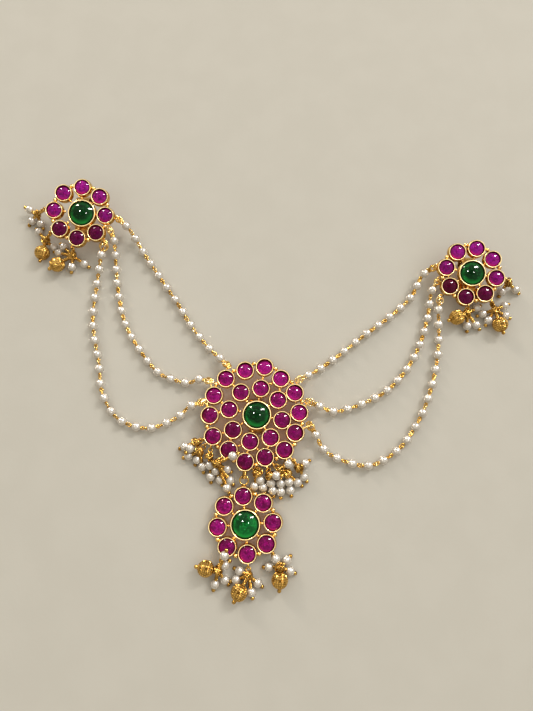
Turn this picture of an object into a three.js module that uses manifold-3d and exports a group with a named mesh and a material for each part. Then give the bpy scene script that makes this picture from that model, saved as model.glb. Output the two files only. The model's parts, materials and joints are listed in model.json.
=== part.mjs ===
// A hair braid ornament laid flat: a large jewelled floret with a pendant floret below it, joined by
// strings of pearls to a smaller floret on each side, with bunches of pearl drops under the florets.
// Millimetres. +X runs across the ornament, +Y up it and +Z out of the surface that it lies on.
// The origin is under the middle of the large floret, on that surface.

import * as THREE from 'three';
import { mergeVertices } from 'three/addons/utils/BufferGeometryUtils.js';
import Module from 'manifold-3d';

const wasm = await Module();
wasm.setup();

// Driving dimensions, in millimetres and degrees
const BEZEL = { rim: 3.35, outer: 3.6, foot: 2.6, height: 2.0, sides: 10 };
const MIDDLE_BEZEL = { rim: 5.45, outer: 5.75, foot: 4.7, height: 2.0, sides: 10 };
const RUBY = {
  girdle: 2.75,
  girdleDrop: 1.0,
  shoulder: 1.75,
  shoulderRise: 0.15,
  crown: 0.45,
  keel: 1.7,
  sides: 10,
};
const EMERALD = {
  girdle: 4.85,
  girdleDrop: 1.0,
  shoulder: 3.2,
  shoulderRise: 0.9,
  crown: 1.5,
  keel: 1.9,
  sides: 10,
};
const GRANULE = { radius: 1.1, drop: 1.3, bite: 0.45 };
const PEARL = { radius: 1.5, ring: 1.45, ringOffset: 0.7, end: 1.35, sides: 10 };
const GOLD_BALL = { radius: 3.0, ring: 2.9, ringOffset: 1.4, sides: 10 };
const WIRE = { radius: 0.35, sides: 5, bite: 0.15 };
const HUB = { radius: 1.3 };
const EYE = { radius: 0.95, wire: 0.28, bite: 0.2, height: 3.0, sides: 10 };
const CLIP = { width: 5, thickness: 0.6, toe: -6.5, heel: 5, bendSteps: 4 };
const CLEARANCE = 0.3;
const RING_COUNT = 8;

// Each floret's middle, the height of its rims, how far it nods and leans, and its ring's turn and radius
const FLORETS = {
  left: { x: -71.4, y: 81.0, rim: 10.5, nod: 12, lean: 1, turn: 39.6, ring: 10.35 },
  right: { x: 85.7, y: 56.2, rim: 8.0, nod: 11, lean: -4, turn: 31.3, ring: 9.9 },
  pendant: { x: -3.66, y: -40.13, rim: 4.0, nod: 2, lean: -2, turn: 4.6, ring: 10.18 },
  centre: { x: 0, y: 0, rim: 4.9, nod: 2, lean: 0, turn: 33.6, ring: 10.3 },
};

// How far each middle bezel sits from the middle of its ring
const MIDDLE_SHIFTS = {
  left: { x: 0.6, y: -0.3 },
  right: { x: 0, y: -0.3 },
  pendant: { x: 0, y: 0 },
  centre: { x: 0, y: -0.6 },
};

// Middles of the bezels in the large floret's second ring, which is a little uneven
const OUTER_SPOTS = [
  { x: 16.6, y: 0.8 }, { x: 15.0, y: 8.4 }, { x: 9.7, y: 13.9 }, { x: 3.4, y: 18.4 }, { x: -4.1, y: 17.1 },
  { x: -11.5, y: 13.9 }, { x: -16.0, y: 7.4 }, { x: -17.5, y: -0.2 }, { x: -16.1, y: -8.1 },
  { x: -10.1, y: -13.2 }, { x: -3.9, y: -17.6 }, { x: 3.6, y: -15.9 }, { x: 10.9, y: -13.2 },
  { x: 15.0, y: -6.8 },
];

// Each string of pearls: how many it has, and points along its way from a side floret to the large one
const STRANDS = {
  left_strand_upper: {
    pearls: 12,
    route: [
      { x: -57.0, y: 80.4, z: 6.5 }, { x: -52.6, y: 76.7, z: 4.5 }, { x: -47.0, y: 67.8, z: 2.0 },
      { x: -39.8, y: 57.0, z: 1.65 }, { x: -32.2, y: 45.9, z: 1.65 }, { x: -25.3, y: 34.9, z: 1.65 },
      { x: -18.2, y: 26.2, z: 2.0 }, { x: -14.7, y: 22.9, z: 3.0 }, { x: -11.0, y: 19.3, z: 4.0 },
    ],
  },
  left_strand_middle: {
    pearls: 14,
    route: [
      { x: -59.9, y: 75.6, z: 6.0 }, { x: -58.6, y: 72.0, z: 4.5 }, { x: -57.7, y: 61.7, z: 2.0 },
      { x: -56.0, y: 49.7, z: 1.65 }, { x: -52.8, y: 37.6, z: 1.65 }, { x: -46.5, y: 26.5, z: 1.65 },
      { x: -38.1, y: 16.7, z: 1.65 }, { x: -32.0, y: 14.0, z: 1.65 }, { x: -26.4, y: 12.7, z: 2.0 },
      { x: -22.2, y: 14.0, z: 3.0 }, { x: -17.8, y: 13.1, z: 4.0 },
    ],
  },
  left_strand_lower: {
    pearls: 18,
    route: [
      { x: -61.9, y: 69.5, z: 5.5 }, { x: -63.2, y: 65.2, z: 4.5 }, { x: -64.8, y: 55.5, z: 2.0 },
      { x: -65.6, y: 38.0, z: 1.65 }, { x: -62.0, y: 20.7, z: 1.65 }, { x: -59.6, y: 8.3, z: 1.65 },
      { x: -52.8, y: -1.4, z: 1.65 }, { x: -41.0, y: -4.8, z: 1.65 }, { x: -29.4, y: -0.2, z: 2.0 },
      { x: -25.6, y: 3.3, z: 3.0 }, { x: -20.5, y: 5.0, z: 4.0 },
    ],
  },
  right_strand_upper: {
    pearls: 12,
    route: [
      { x: 71.9, y: 59.4, z: 5.5 }, { x: 67.8, y: 57.1, z: 3.5 }, { x: 62.6, y: 47.9, z: 2.0 },
      { x: 53.2, y: 39.3, z: 1.65 }, { x: 43.2, y: 32.0, z: 1.65 }, { x: 33.9, y: 24.6, z: 1.65 },
      { x: 24.5, y: 17.9, z: 2.0 }, { x: 21.2, y: 15.9, z: 3.0 }, { x: 16.6, y: 13.6, z: 4.0 },
    ],
  },
  right_strand_middle: {
    pearls: 14,
    route: [
      { x: 73.2, y: 54.0, z: 5.0 }, { x: 70.8, y: 49.9, z: 3.5 }, { x: 68.8, y: 39.5, z: 2.0 },
      { x: 65.1, y: 28.4, z: 1.65 }, { x: 59.4, y: 18.4, z: 1.65 }, { x: 51.3, y: 9.9, z: 1.65 },
      { x: 41.1, y: 4.5, z: 1.65 }, { x: 29.9, y: 1.5, z: 2.0 }, { x: 25.2, y: 3.2, z: 3.0 },
      { x: 20.5, y: 5.0, z: 4.0 },
    ],
  },
  right_strand_lower: {
    pearls: 17,
    route: [
      { x: 73.6, y: 46.6, z: 4.5 }, { x: 72.9, y: 42.1, z: 3.5 }, { x: 72.7, y: 30.7, z: 2.0 },
      { x: 70.7, y: 18.7, z: 1.65 }, { x: 66.8, y: 6.5, z: 1.65 }, { x: 61.4, y: -4.1, z: 1.65 },
      { x: 53.9, y: -13.2, z: 1.65 }, { x: 42.9, y: -18.9, z: 1.65 }, { x: 30.8, y: -16.1, z: 1.65 },
      { x: 25.6, y: -12.6, z: 2.0 }, { x: 22.9, y: -7.5, z: 3.0 }, { x: 20.6, y: -4.0, z: 4.0 },
    ],
  },
};
const STRAND_LEAD = 4.6;
const STRAND_TAIL = 4.4;

// Each bunch of drops: the floret and the wire-wrapped hub that it hangs from, and for each drop the way
// it points, how far its beads lie from the hub, and how high the middle of the last bead is
const BUNCHES = {
  left_drops_outer: {
    floret: 'left',
    hub: { x: -91.9, y: 84.2, z: 3.2 },
    drops: [
      { turn: 150, reach: [3.6], lift: 3.2 },
      { turn: -133, reach: [3.5], lift: 1.65 },
      { turn: -69, reach: [4.0], lift: 1.65 },
    ],
  },
  left_drops_lower: {
    floret: 'left',
    hub: { x: -87.1, y: 72.1, z: 3.2 },
    drops: [
      { turn: -100, reach: [5.4], lift: 3.1, gold: true },
      { turn: 130, reach: [6.0], lift: 1.65 },
      { turn: -37, reach: [3.7], lift: 1.65 },
    ],
  },
  left_drops_inner: {
    floret: 'left',
    hub: { x: -75.4, y: 65.4, z: 3.2 },
    drops: [
      { turn: -148, reach: [7.1], lift: 3.1, gold: true },
      { turn: 163, reach: [6.7], lift: 1.65 },
      { turn: 135, reach: [6.5], lift: 1.65 },
      { turn: -97, reach: [4.3], lift: 1.65 },
      { turn: -33, reach: [5.4], lift: 1.65 },
    ],
  },
  right_drops_inner: {
    floret: 'right',
    hub: { x: 84.4, y: 40.6, z: 3.2 },
    drops: [
      { turn: -160, reach: [4.4], lift: 3.1, gold: true },
      { turn: 32, reach: [5.4], lift: 1.65 },
      { turn: -89, reach: [4.7], lift: 1.65 },
      { turn: -49, reach: [5.7], lift: 1.65 },
    ],
  },
  right_drops_lower: {
    floret: 'right',
    hub: { x: 95.4, y: 42.3, z: 3.2 },
    drops: [
      { turn: -74, reach: [6.4], lift: 3.1, gold: true },
      { turn: -162, reach: [4.4], lift: 1.65 },
      { turn: -118, reach: [4.6], lift: 1.65 },
      { turn: -24, reach: [5.3], lift: 1.65 },
      { turn: 23, reach: [5.3], lift: 1.65 },
    ],
  },
  right_drops_outer: {
    floret: 'right',
    hub: { x: 101.7, y: 53.8, z: 3.6 },
    drops: [
      { turn: -119, reach: [3.9], lift: 1.65 },
      { turn: -35, reach: [4.5], lift: 1.65 },
    ],
  },
  pendant_drops_left: {
    floret: 'pendant',
    hub: { x: -13.3, y: -56.1, z: 3.2 },
    drops: [
      { turn: 169, reach: [4.5], lift: 3.1, gold: true },
      { turn: 67, reach: [6.1], lift: 5.8 },
      { turn: 40, reach: [3.2], lift: 3.2 },
      { turn: -104, reach: [4.8], lift: 1.65 },
      { turn: -53, reach: [4.0], lift: 1.65 },
    ],
  },
  pendant_drops_middle: {
    floret: 'pendant',
    hub: { x: -2.3, y: -57.5, z: 3.2 },
    drops: [
      { turn: -120, reach: [6.7], lift: 3.1, gold: true },
      { turn: 159, reach: [3.6], lift: 1.65 },
      { turn: -160, reach: [4.8], lift: 1.65 },
      { turn: -41, reach: [4.3], lift: 1.65 },
      { turn: -80, reach: [6.0], lift: 1.65 },
    ],
  },
  pendant_drops_right: {
    floret: 'pendant',
    hub: { x: 9.1, y: -54.7, z: 3.4 },
    drops: [
      { turn: -93, reach: [4.5], lift: 3.1, gold: true },
      { turn: -177, reach: [4.0], lift: 1.65 },
      { turn: 120, reach: [3.2], lift: 3.2 },
      { turn: 42, reach: [3.2], lift: 1.65 },
      { turn: -24, reach: [3.9], lift: 1.65 },
    ],
  },
  centre_drops_1: {
    floret: 'centre',
    hub: { x: -22.4, y: -10.2, z: 3.2 },
    drops: [
      { turn: -160, reach: [4.8], lift: 1.65 },
      { turn: -133, reach: [3.3], lift: 3.6 },
    ],
  },
  centre_drops_2: {
    floret: 'centre',
    hub: { x: -21.1, y: -13.7, z: 3.2 },
    drops: [
      { turn: -160, reach: [4.6], lift: 1.65 },
      { turn: -110, reach: [3.2], lift: 1.65 },
      { turn: -79, reach: [5.7], lift: 1.65 },
    ],
  },
  centre_drops_3: {
    floret: 'centre',
    hub: { x: -17.4, y: -15.4, z: 4.2 },
    drops: [
      { turn: -86, reach: [3.4, 7.6], lift: 1.65 },
      { turn: -65, reach: [6.0, 9.6], lift: 1.65 },
    ],
  },
  centre_drops_4: {
    floret: 'centre',
    hub: { x: -14.4, y: -18.2, z: 5.6 },
    drops: [
      { turn: 24, reach: [6.6], lift: 6.8 },
      { turn: -30, reach: [4.2], lift: 2.6 },
      { turn: -52, reach: [7.8], lift: 1.65 },
      { turn: -67, reach: [9.6], lift: 1.65 },
    ],
  },
  centre_drops_5: {
    floret: 'centre',
    hub: { x: 0.7, y: -21.6, z: 3.2 },
    drops: [
      { turn: -103, reach: [5.0], lift: 1.65 },
      { turn: -68, reach: [2.9, 5.7], lift: 1.65 },
    ],
  },
  centre_drops_6: {
    floret: 'centre',
    hub: { x: 5.2, y: -22.5, z: 3.2 },
    drops: [
      { turn: -77, reach: [2.9, 5.7], lift: 1.65 },
    ],
  },
  centre_drops_7: {
    floret: 'centre',
    hub: { x: 9.4, y: -20.4, z: 3.2 },
    drops: [
      { turn: -89.5, reach: [5.1, 8.1], lift: 1.65 },
    ],
  },
  centre_drops_8: {
    floret: 'centre',
    hub: { x: 12.0, y: -22.0, z: 3.2 },
    drops: [
      { turn: -80, reach: [3.0, 6.0], lift: 1.65 },
      { turn: -39, reach: [4.9], lift: 1.65 },
    ],
  },
  centre_drops_9: {
    floret: 'centre',
    hub: { x: 16.2, y: -19.8, z: 3.2 },
    drops: [
      { turn: 33, reach: [3.1], lift: 1.65 },
      { turn: -58, reach: [3.8], lift: 1.65 },
    ],
  },
};

const MATERIALS = {
  gold: new THREE.MeshStandardMaterial({ color: 0xc8963e, roughness: 0.3, metalness: 1.0 }),
  ruby: new THREE.MeshStandardMaterial({ color: 0x8a2468, roughness: 0.12, metalness: 0.0 }),
  emerald: new THREE.MeshStandardMaterial({ color: 0x1f5a30, roughness: 0.1, metalness: 0.0 }),
  pearl: new THREE.MeshStandardMaterial({ color: 0xeee6da, roughness: 0.22, metalness: 0.0 }),
};

const FRAME_STEPS = 600;
const radians = THREE.MathUtils.degToRad;

// Closed solids, joined and turned back into geometry

function toSolid(geometry) {
  const bare = geometry.clone();
  bare.deleteAttribute('normal');
  bare.deleteAttribute('uv');
  const merged = mergeVertices(bare, 1e-4);
  const corners = merged.index.array;
  const kept = [];
  for (let i = 0; i < corners.length; i += 3) {
    const [a, b, c] = corners.slice(i, i + 3);
    if (a !== b && b !== c && c !== a) kept.push(a, b, c);
  }
  const vertProperties = merged.attributes.position.array;
  const triVerts = Uint32Array.from(kept);
  return new wasm.Manifold(new wasm.Mesh({ numProp: 3, vertProperties, triVerts }));
}

function fuse(geometries) {
  const { vertProperties, triVerts } = geometries
    .map(toSolid)
    .reduce((whole, solid) => whole.add(solid))
    .getMesh();
  const geometry = new THREE.BufferGeometry();
  geometry.setAttribute('position', new THREE.BufferAttribute(Float32Array.from(vertProperties), 3));
  geometry.setIndex(new THREE.BufferAttribute(Uint32Array.from(triVerts), 1));
  return geometry;
}

function addMesh(parent, name, geometries, material) {
  const mesh = new THREE.Mesh(fuse(geometries), material);
  mesh.name = name;
  parent.add(mesh);
}

function skin(triangles) {
  return new THREE.BufferGeometry().setFromPoints(triangles);
}

// A turned shape about +Z from its profile, given as radius and height from the top down
function turned(profile, sides) {
  const points = profile.map(([radius, height]) => new THREE.Vector2(radius, height)).reverse();
  return new THREE.LatheGeometry(points, sides).rotateX(Math.PI / 2);
}

// A ring of points round a line, or a single point where it has one side
function ringOf({ middle, normal, binormal }, radius, sides) {
  return Array.from({ length: sides }, (_, k) => {
    const angle = (2 * Math.PI * k) / sides;
    return middle.clone()
      .addScaledVector(normal, radius * Math.cos(angle))
      .addScaledVector(binormal, radius * Math.sin(angle));
  });
}

// Triangles between two rings, stepping round whichever of them lags behind
function joinRings(triangles, near, far) {
  let i = 0;
  let j = 0;
  while (i < near.length || j < far.length) {
    const a = near[i % near.length];
    const b = far[j % far.length];
    const nearLags = (i + 1) / near.length <= (j + 1) / far.length;
    if (i < near.length && (nearLags || j === far.length)) {
      i += 1;
      if (near.length > 1) triangles.push(a, near[i % near.length], b);
    } else {
      j += 1;
      if (far.length > 1) triangles.push(a, far[j % far.length], b);
    }
  }
}

function joinAll(triangles, rings) {
  rings.slice(1).forEach((ring, k) => joinRings(triangles, rings[k], ring));
  return triangles;
}

// Florets

function ringSpots(turn, radius) {
  return Array.from({ length: RING_COUNT }, (_, k) => {
    const angle = radians(turn + (360 * k) / RING_COUNT);
    return new THREE.Vector2(radius * Math.cos(angle), radius * Math.sin(angle));
  });
}

function closest(spots, point) {
  return spots.reduce((best, spot) => (spot.distanceTo(point) < best.distanceTo(point) ? spot : best));
}

function floretSpots(name) {
  const inner = ringSpots(FLORETS[name].turn, FLORETS[name].ring);
  const outer = name === 'centre' ? OUTER_SPOTS.map(({ x, y }) => new THREE.Vector2(x, y)) : [];
  return { inner, outer };
}

function floretGroup(name) {
  const { x, y, rim, nod, lean } = FLORETS[name];
  const group = new THREE.Group();
  group.position.set(x, y, rim);
  group.rotation.set(radians(nod), radians(lean), 0, 'YXZ');
  group.updateMatrixWorld(true);
  return group;
}

// An open bezel: a wall that flares from its thin rim, with a seat that narrows towards its foot
function openBezel({ rim, outer, foot, height, sides }) {
  return turned([[rim, 0], [outer, -height], [foot, -height], [rim, 0]], sides);
}

// Radius of a bezel's flared wall at the height of the granules
function wallRadius({ rim, outer, height }) {
  return rim + ((outer - rim) * GRANULE.drop) / height;
}

// A bezel with its stone fused in: a sharp rim round a low dome
function stoneBezel() {
  const { rim, outer, height, sides } = BEZEL;
  const dome = [[0, RUBY.crown], [RUBY.girdle, -RUBY.girdleDrop]];
  return turned([...dome, [rim, 0], [outer, -height], [0, -height]], sides);
}

// A domed stone with a pointed back that sits in a bezel's seat
function domedStone({ girdle, girdleDrop, shoulder, shoulderRise, crown, keel, sides }) {
  return turned([[0, crown], [shoulder, shoulderRise], [girdle, -girdleDrop], [0, -keel]], sides);
}

// A granule with a corner towards each of the bezels that it joins
function granule({ x, y }, heading) {
  return new THREE.OctahedronGeometry(GRANULE.radius, 0).rotateZ(heading).translate(x, y, -GRANULE.drop);
}

// Granules in the outer notches between neighbouring bezels of a ring
function notchGranules(spots) {
  const reach = wallRadius(BEZEL) + GRANULE.radius - GRANULE.bite;
  return spots.map((spot, k) => {
    const chord = spots[(k + 1) % spots.length].clone().sub(spot);
    const offset = Math.sqrt(reach * reach - chord.lengthSq() / 4);
    const outward = new THREE.Vector2(chord.y, -chord.x).setLength(offset);
    return granule(spot.clone().addScaledVector(chord, 0.5).add(outward), chord.angle());
  });
}

// Granules between the middle bezel and every fourth bezel of the first ring
function spokeGranules(spots, { x, y }) {
  const middle = new THREE.Vector2(x, y);
  return spots.filter((_, k) => k % 4 === 0).map((spot) => {
    const spoke = spot.clone().sub(middle);
    const radius = (wallRadius(MIDDLE_BEZEL) + spoke.length() - wallRadius(BEZEL)) / 2;
    return granule(spoke.clone().setLength(radius).add(middle), spoke.angle());
  });
}

// Granules that join each bezel of the first ring to the nearest one of the second
function bridgeGranules(inner, outer) {
  return inner.map((spot) => {
    const nearest = closest(outer, spot);
    const middle = spot.clone().add(nearest).multiplyScalar(0.5);
    return granule(middle, nearest.clone().sub(spot).angle());
  });
}

// Where a floret's bezels stand in the whole ornament, halfway down their walls
function bezelPlaces(name, group) {
  const { inner, outer } = floretSpots(name);
  const place = (spot) => group.localToWorld(new THREE.Vector3(spot.x, spot.y, -BEZEL.height / 2));
  return [...inner, ...outer].map(place);
}

// The two bezels that the pendant hangs between, and the line from one wall to the other
function pendantLink(groups) {
  const lowest = (spots) => spots.reduce((best, spot) => (spot.y < best.y ? spot : best));
  const highest = (spots) => spots.reduce((best, spot) => (spot.y > best.y ? spot : best));
  const upper = lowest(bezelPlaces('centre', groups.centre));
  const lower = highest(bezelPlaces('pendant', groups.pendant));
  upper.z = EYE.height;
  lower.z = EYE.height;
  const along = lower.clone().sub(upper).normalize();
  return {
    along,
    upperWall: upper.clone().addScaledVector(along, BEZEL.outer),
    lowerWall: lower.clone().addScaledVector(along, -BEZEL.outer),
  };
}

function wireRing(radius, wire, sides) {
  return new THREE.TorusGeometry(radius, wire, WIRE.sides, sides);
}

// An upright eye on a bezel's wall, its far side biting into the wall
function eyeOn(wall, outward, group) {
  const heading = Math.atan2(outward.y, outward.x);
  const middle = wall.clone().addScaledVector(outward, EYE.radius - EYE.bite);
  return wireRing(EYE.radius, EYE.wire, EYE.sides)
    .rotateX(Math.PI / 2)
    .rotateZ(heading)
    .translate(middle.x, middle.y, middle.z)
    .applyMatrix4(group.matrixWorld.clone().invert());
}

function pendantBail({ along, upperWall, lowerWall }) {
  const inEye = 2 * EYE.radius - EYE.bite - EYE.wire - EYE.wire - CLEARANCE / 2;
  const span = upperWall.distanceTo(lowerWall) - 2 * inEye;
  const middle = upperWall.clone().add(lowerWall).multiplyScalar(0.5);
  return wireRing(span / 2, EYE.wire, EYE.sides)
    .rotateZ(Math.atan2(along.y, along.x))
    .translate(middle.x, middle.y, middle.z);
}

function buildFloret(name, group, link) {
  const { inner, outer } = floretSpots(name);
  const bezelAt = (spot, shape) => shape.clone().translate(spot.x, spot.y, 0);
  const open = openBezel(BEZEL);
  const filled = stoneBezel();
  const shift = MIDDLE_SHIFTS[name];
  const metal = [bezelAt(shift, openBezel(MIDDLE_BEZEL)), ...spokeGranules(inner, shift)];
  if (name === 'centre') {
    metal.push(...[...inner, ...outer].map((spot) => bezelAt(spot, filled)));
    metal.push(...bridgeGranules(inner, outer), ...notchGranules(outer));
    metal.push(eyeOn(link.upperWall, link.along, group));
  } else {
    metal.push(...inner.map((spot) => bezelAt(spot, open)), ...notchGranules(inner));
    inner.forEach((spot, k) => {
      addMesh(group, `${name}_ruby_${k + 1}`, [bezelAt(spot, domedStone(RUBY))], MATERIALS.ruby);
    });
  }
  if (name === 'pendant') metal.push(eyeOn(link.lowerWall, link.along.clone().negate(), group));
  addMesh(group, `${name}_setting`, metal, MATERIALS.gold);
  addMesh(group, `${name}_emerald`, [bezelAt(shift, domedStone(EMERALD))], MATERIALS.emerald);
}

// A folded strip clip: its lower leaf lies on the surface, its upper leaf runs under the floret's back
function buildClip(parent, name) {
  const { rim, nod, lean, x, y } = FLORETS[name];
  const slope = radians(nod);
  const sink = CLEARANCE + (CLIP.width / 2) * Math.tan(Math.abs(radians(lean)));
  const backMiddle = rim - BEZEL.height / Math.cos(slope) - sink;
  const rise = 1 + Math.cos(slope) + Math.sin(slope) * Math.tan(slope);
  const bend = (backMiddle + CLIP.heel * Math.tan(slope)) / rise;
  const outline = new THREE.Shape();
  const upperAt = (run, depth) => [run, backMiddle + run * Math.tan(slope) - depth / Math.cos(slope)];
  const turnEnd = Math.PI / 2 + slope;
  outline.moveTo(CLIP.toe, 0);
  outline.lineTo(CLIP.heel, 0);
  outline.absarc(CLIP.heel, bend, bend, -Math.PI / 2, turnEnd, false);
  outline.lineTo(...upperAt(CLIP.toe, 0));
  outline.lineTo(...upperAt(CLIP.toe, CLIP.thickness));
  outline.absarc(CLIP.heel, bend, bend - CLIP.thickness, turnEnd, -Math.PI / 2, true);
  outline.lineTo(CLIP.toe, CLIP.thickness);
  const strip = new THREE.ExtrudeGeometry(outline, {
    depth: CLIP.width,
    bevelEnabled: false,
    curveSegments: CLIP.bendSteps,
  });
  strip.translate(0, 0, -CLIP.width / 2).rotateX(Math.PI / 2).rotateZ(Math.PI / 2).translate(x, y, 0);
  addMesh(parent, `${name}_hair_clip`, [strip], MATERIALS.gold);
}

// Strings of pearls

function buildStrand(parent, name) {
  const { pearls, route } = STRANDS[name];
  const points = route.map(({ x, y, z }) => new THREE.Vector3(x, y, z));
  const curve = new THREE.CatmullRomCurve3(points, false, 'centripetal');
  const length = curve.getLength();
  const frames = curve.computeFrenetFrames(FRAME_STEPS, false);
  const frameAt = (distance) => {
    const share = THREE.MathUtils.clamp(distance / length, 0, 1);
    const step = Math.round(share * FRAME_STEPS);
    return {
      middle: curve.getPointAt(share),
      normal: frames.normals[step],
      binormal: frames.binormals[step],
    };
  };
  const end = (distance) => [frameAt(distance).middle];
  const wire = (distance) => ringOf(frameAt(distance), WIRE.radius, WIRE.sides);
  const bead = (distance) => ringOf(frameAt(distance), PEARL.ring, PEARL.sides);
  const pitch = (length - STRAND_LEAD - STRAND_TAIL) / (pearls - 1);
  const rings = [end(0), wire(WIRE.radius)];
  for (let k = 0; k < pearls; k += 1) {
    const at = STRAND_LEAD + k * pitch;
    rings.push(wire(at - PEARL.end), bead(at - PEARL.ringOffset));
    rings.push(bead(at + PEARL.ringOffset), wire(at + PEARL.end));
  }
  rings.push(wire(length - WIRE.radius), end(length));
  addMesh(parent, name, [skin(joinAll([], rings))], MATERIALS.pearl);
}

// Bunches of drops

// The flat faces of a wire-wrapped hub, each a ring of three points
function hubFaces(hub) {
  const ball = new THREE.IcosahedronGeometry(HUB.radius, 0).translate(hub.x, hub.y, hub.z);
  const corners = ball.attributes.position;
  const corner = (k) => new THREE.Vector3().fromBufferAttribute(corners, k);
  const face = (k) => [corner(3 * k), corner(3 * k + 1), corner(3 * k + 2)];
  return Array.from({ length: corners.count / 3 }, (_, k) => face(k));
}

// Takes the free face of a hub that looks most nearly towards a point
function takeFace(faces, hub, point) {
  const way = point.clone().sub(hub).normalize();
  const facing = (face) => face.reduce((sum, corner) => sum + corner.clone().sub(hub).dot(way), 0);
  const best = faces.reduce((chosen, face) => (facing(face) > facing(chosen) ? face : chosen));
  faces.splice(faces.indexOf(best), 1);
  return best;
}

// A straight arm that grows from a face of the hub, given as distances from the hub, radii and sides
function arm(face, hub, point, stations) {
  const way = point.clone().sub(hub).normalize();
  const start = face[0].clone().sub(hub);
  const normal = start.addScaledVector(way, -start.dot(way)).normalize();
  const binormal = way.clone().cross(normal);
  const rings = stations.map(({ at, radius, sides }) => {
    const middle = hub.clone().addScaledVector(way, at);
    return ringOf({ middle, normal, binormal }, radius, sides);
  });
  return [face, ...rings];
}

// Rings of a drop's beads, strung on wire, with a closed far end
function beadStations(distances, gold) {
  const { radius, ring, ringOffset, sides } = gold ? GOLD_BALL : PEARL;
  const wire = (at) => ({ at, radius: WIRE.radius, sides: WIRE.sides });
  const stations = distances.flatMap((middle) => [
    wire(middle - radius + WIRE.bite),
    { at: middle - ringOffset, radius: ring, sides },
    { at: middle + ringOffset, radius: ring, sides },
    wire(middle + radius - WIRE.bite),
  ]);
  const tip = { at: distances.at(-1) + radius, radius: 0, sides: 1 };
  return [...stations.slice(0, -1), tip];
}

function buildBunch(parent, name, groups) {
  const { floret, drops } = BUNCHES[name];
  const hub = new THREE.Vector3(BUNCHES[name].hub.x, BUNCHES[name].hub.y, BUNCHES[name].hub.z);
  const faces = hubFaces(hub);
  const triangles = [];
  const bezel = closest(bezelPlaces(floret, groups[floret]), hub);
  const away = hub.clone().sub(bezel).setZ(0).setLength(BEZEL.outer + CLEARANCE);
  const root = bezel.clone().add(away);
  const stem = hub.distanceTo(root);
  joinAll(triangles, arm(takeFace(faces, hub, root), hub, root, [
    { at: stem - WIRE.radius, radius: WIRE.radius, sides: WIRE.sides },
    { at: stem, radius: 0, sides: 1 },
  ]));
  drops.forEach(({ turn, reach, lift, gold }) => {
    const angle = radians(turn);
    const far = reach.at(-1);
    const end = new THREE.Vector3(hub.x + far * Math.cos(angle), hub.y + far * Math.sin(angle), lift);
    const stretch = hub.distanceTo(end) / far;
    const distances = reach.map((run) => run * stretch);
    joinAll(triangles, arm(takeFace(faces, hub, end), hub, end, beadStations(distances, gold)));
  });
  faces.forEach((face) => triangles.push(...face));
  addMesh(parent, name, [skin(triangles)], MATERIALS.pearl);
}

// The whole ornament

const ornament = new THREE.Group();
const groups = Object.fromEntries(Object.keys(FLORETS).map((name) => [name, floretGroup(name)]));
const link = pendantLink(groups);
Object.entries(groups).forEach(([name, group]) => {
  buildFloret(name, group, link);
  ornament.add(group);
});
addMesh(ornament, 'pendant_bail', [pendantBail(link)], MATERIALS.gold);
['left', 'right', 'centre'].forEach((name) => buildClip(ornament, name));
Object.keys(STRANDS).forEach((name) => buildStrand(ornament, name));
Object.keys(BUNCHES).forEach((name) => buildBunch(ornament, name, groups));

export default ornament;
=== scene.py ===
"""Hair braid ornament: stone-set florets, pearl strings and drop bunches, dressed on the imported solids."""

from __future__ import annotations

import json
import logging
import math
import random
from dataclasses import dataclass, replace
from enum import Enum
from functools import cache
from typing import Iterable, Sequence

import bmesh
import bpy
from mathutils import Matrix, Vector

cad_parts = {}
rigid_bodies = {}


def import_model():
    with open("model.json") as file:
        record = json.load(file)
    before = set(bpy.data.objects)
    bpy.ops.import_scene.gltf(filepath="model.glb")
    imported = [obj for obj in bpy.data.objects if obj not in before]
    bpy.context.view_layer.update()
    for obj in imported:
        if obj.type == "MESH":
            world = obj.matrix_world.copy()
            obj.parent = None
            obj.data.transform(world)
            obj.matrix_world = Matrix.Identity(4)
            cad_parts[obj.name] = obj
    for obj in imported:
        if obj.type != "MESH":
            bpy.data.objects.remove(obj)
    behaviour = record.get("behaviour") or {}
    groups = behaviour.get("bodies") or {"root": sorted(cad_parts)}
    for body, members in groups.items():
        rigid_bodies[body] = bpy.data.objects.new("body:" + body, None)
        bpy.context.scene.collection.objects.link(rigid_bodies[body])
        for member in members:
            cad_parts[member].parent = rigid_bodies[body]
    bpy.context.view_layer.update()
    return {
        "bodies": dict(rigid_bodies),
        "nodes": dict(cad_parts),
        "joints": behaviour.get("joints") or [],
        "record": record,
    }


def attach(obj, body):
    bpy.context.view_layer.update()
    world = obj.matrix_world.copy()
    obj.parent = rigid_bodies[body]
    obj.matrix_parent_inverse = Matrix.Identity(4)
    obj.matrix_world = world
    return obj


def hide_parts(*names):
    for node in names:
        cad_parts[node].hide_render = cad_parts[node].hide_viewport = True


LOG = logging.getLogger("hair_braid_ornament")
MM = 0.001
ROOT = "root"
UP = Vector((0.0, 0.0, 1.0))
TONE = "tone"
DOME_MAP = "dome"
MERGE_DISTANCE = 1e-4
NEARLY_ZERO = 1e-3

Span = tuple[float, float]
Point = tuple[float, float, float]
Tint = tuple[float, float, float]
Colour = tuple[float, float, float, float]
Profile = tuple[Point, ...]

FULL: Span = (0.0, 1.0)

# Places of the colour sockets on a Mix node
MIX_FIRST = 6
MIX_SECOND = 7
MIX_RESULT = 2


class Slot(Enum):
    """The record's material slots."""

    GOLD = "gold"
    RUBY = "ruby_glass"
    EMERALD = "emerald_glass"
    PEARL = "pearl"


class ShadeAndPatina(Enum):
    """How dark a gold-plated piece is painted in its hollows: patina, and painted shade."""

    BRIGHT = 0.35
    ANTIQUE = 0.8


class Reach(Enum):
    """What a lamp lights."""

    ALL = "everything"
    SHEEN = "reflections only"
    GLINT = "reflections in the stones and pearls only"
    SPARK = "reflections in the middle stones only"
    RIM = "reflections in the settings only"


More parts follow.
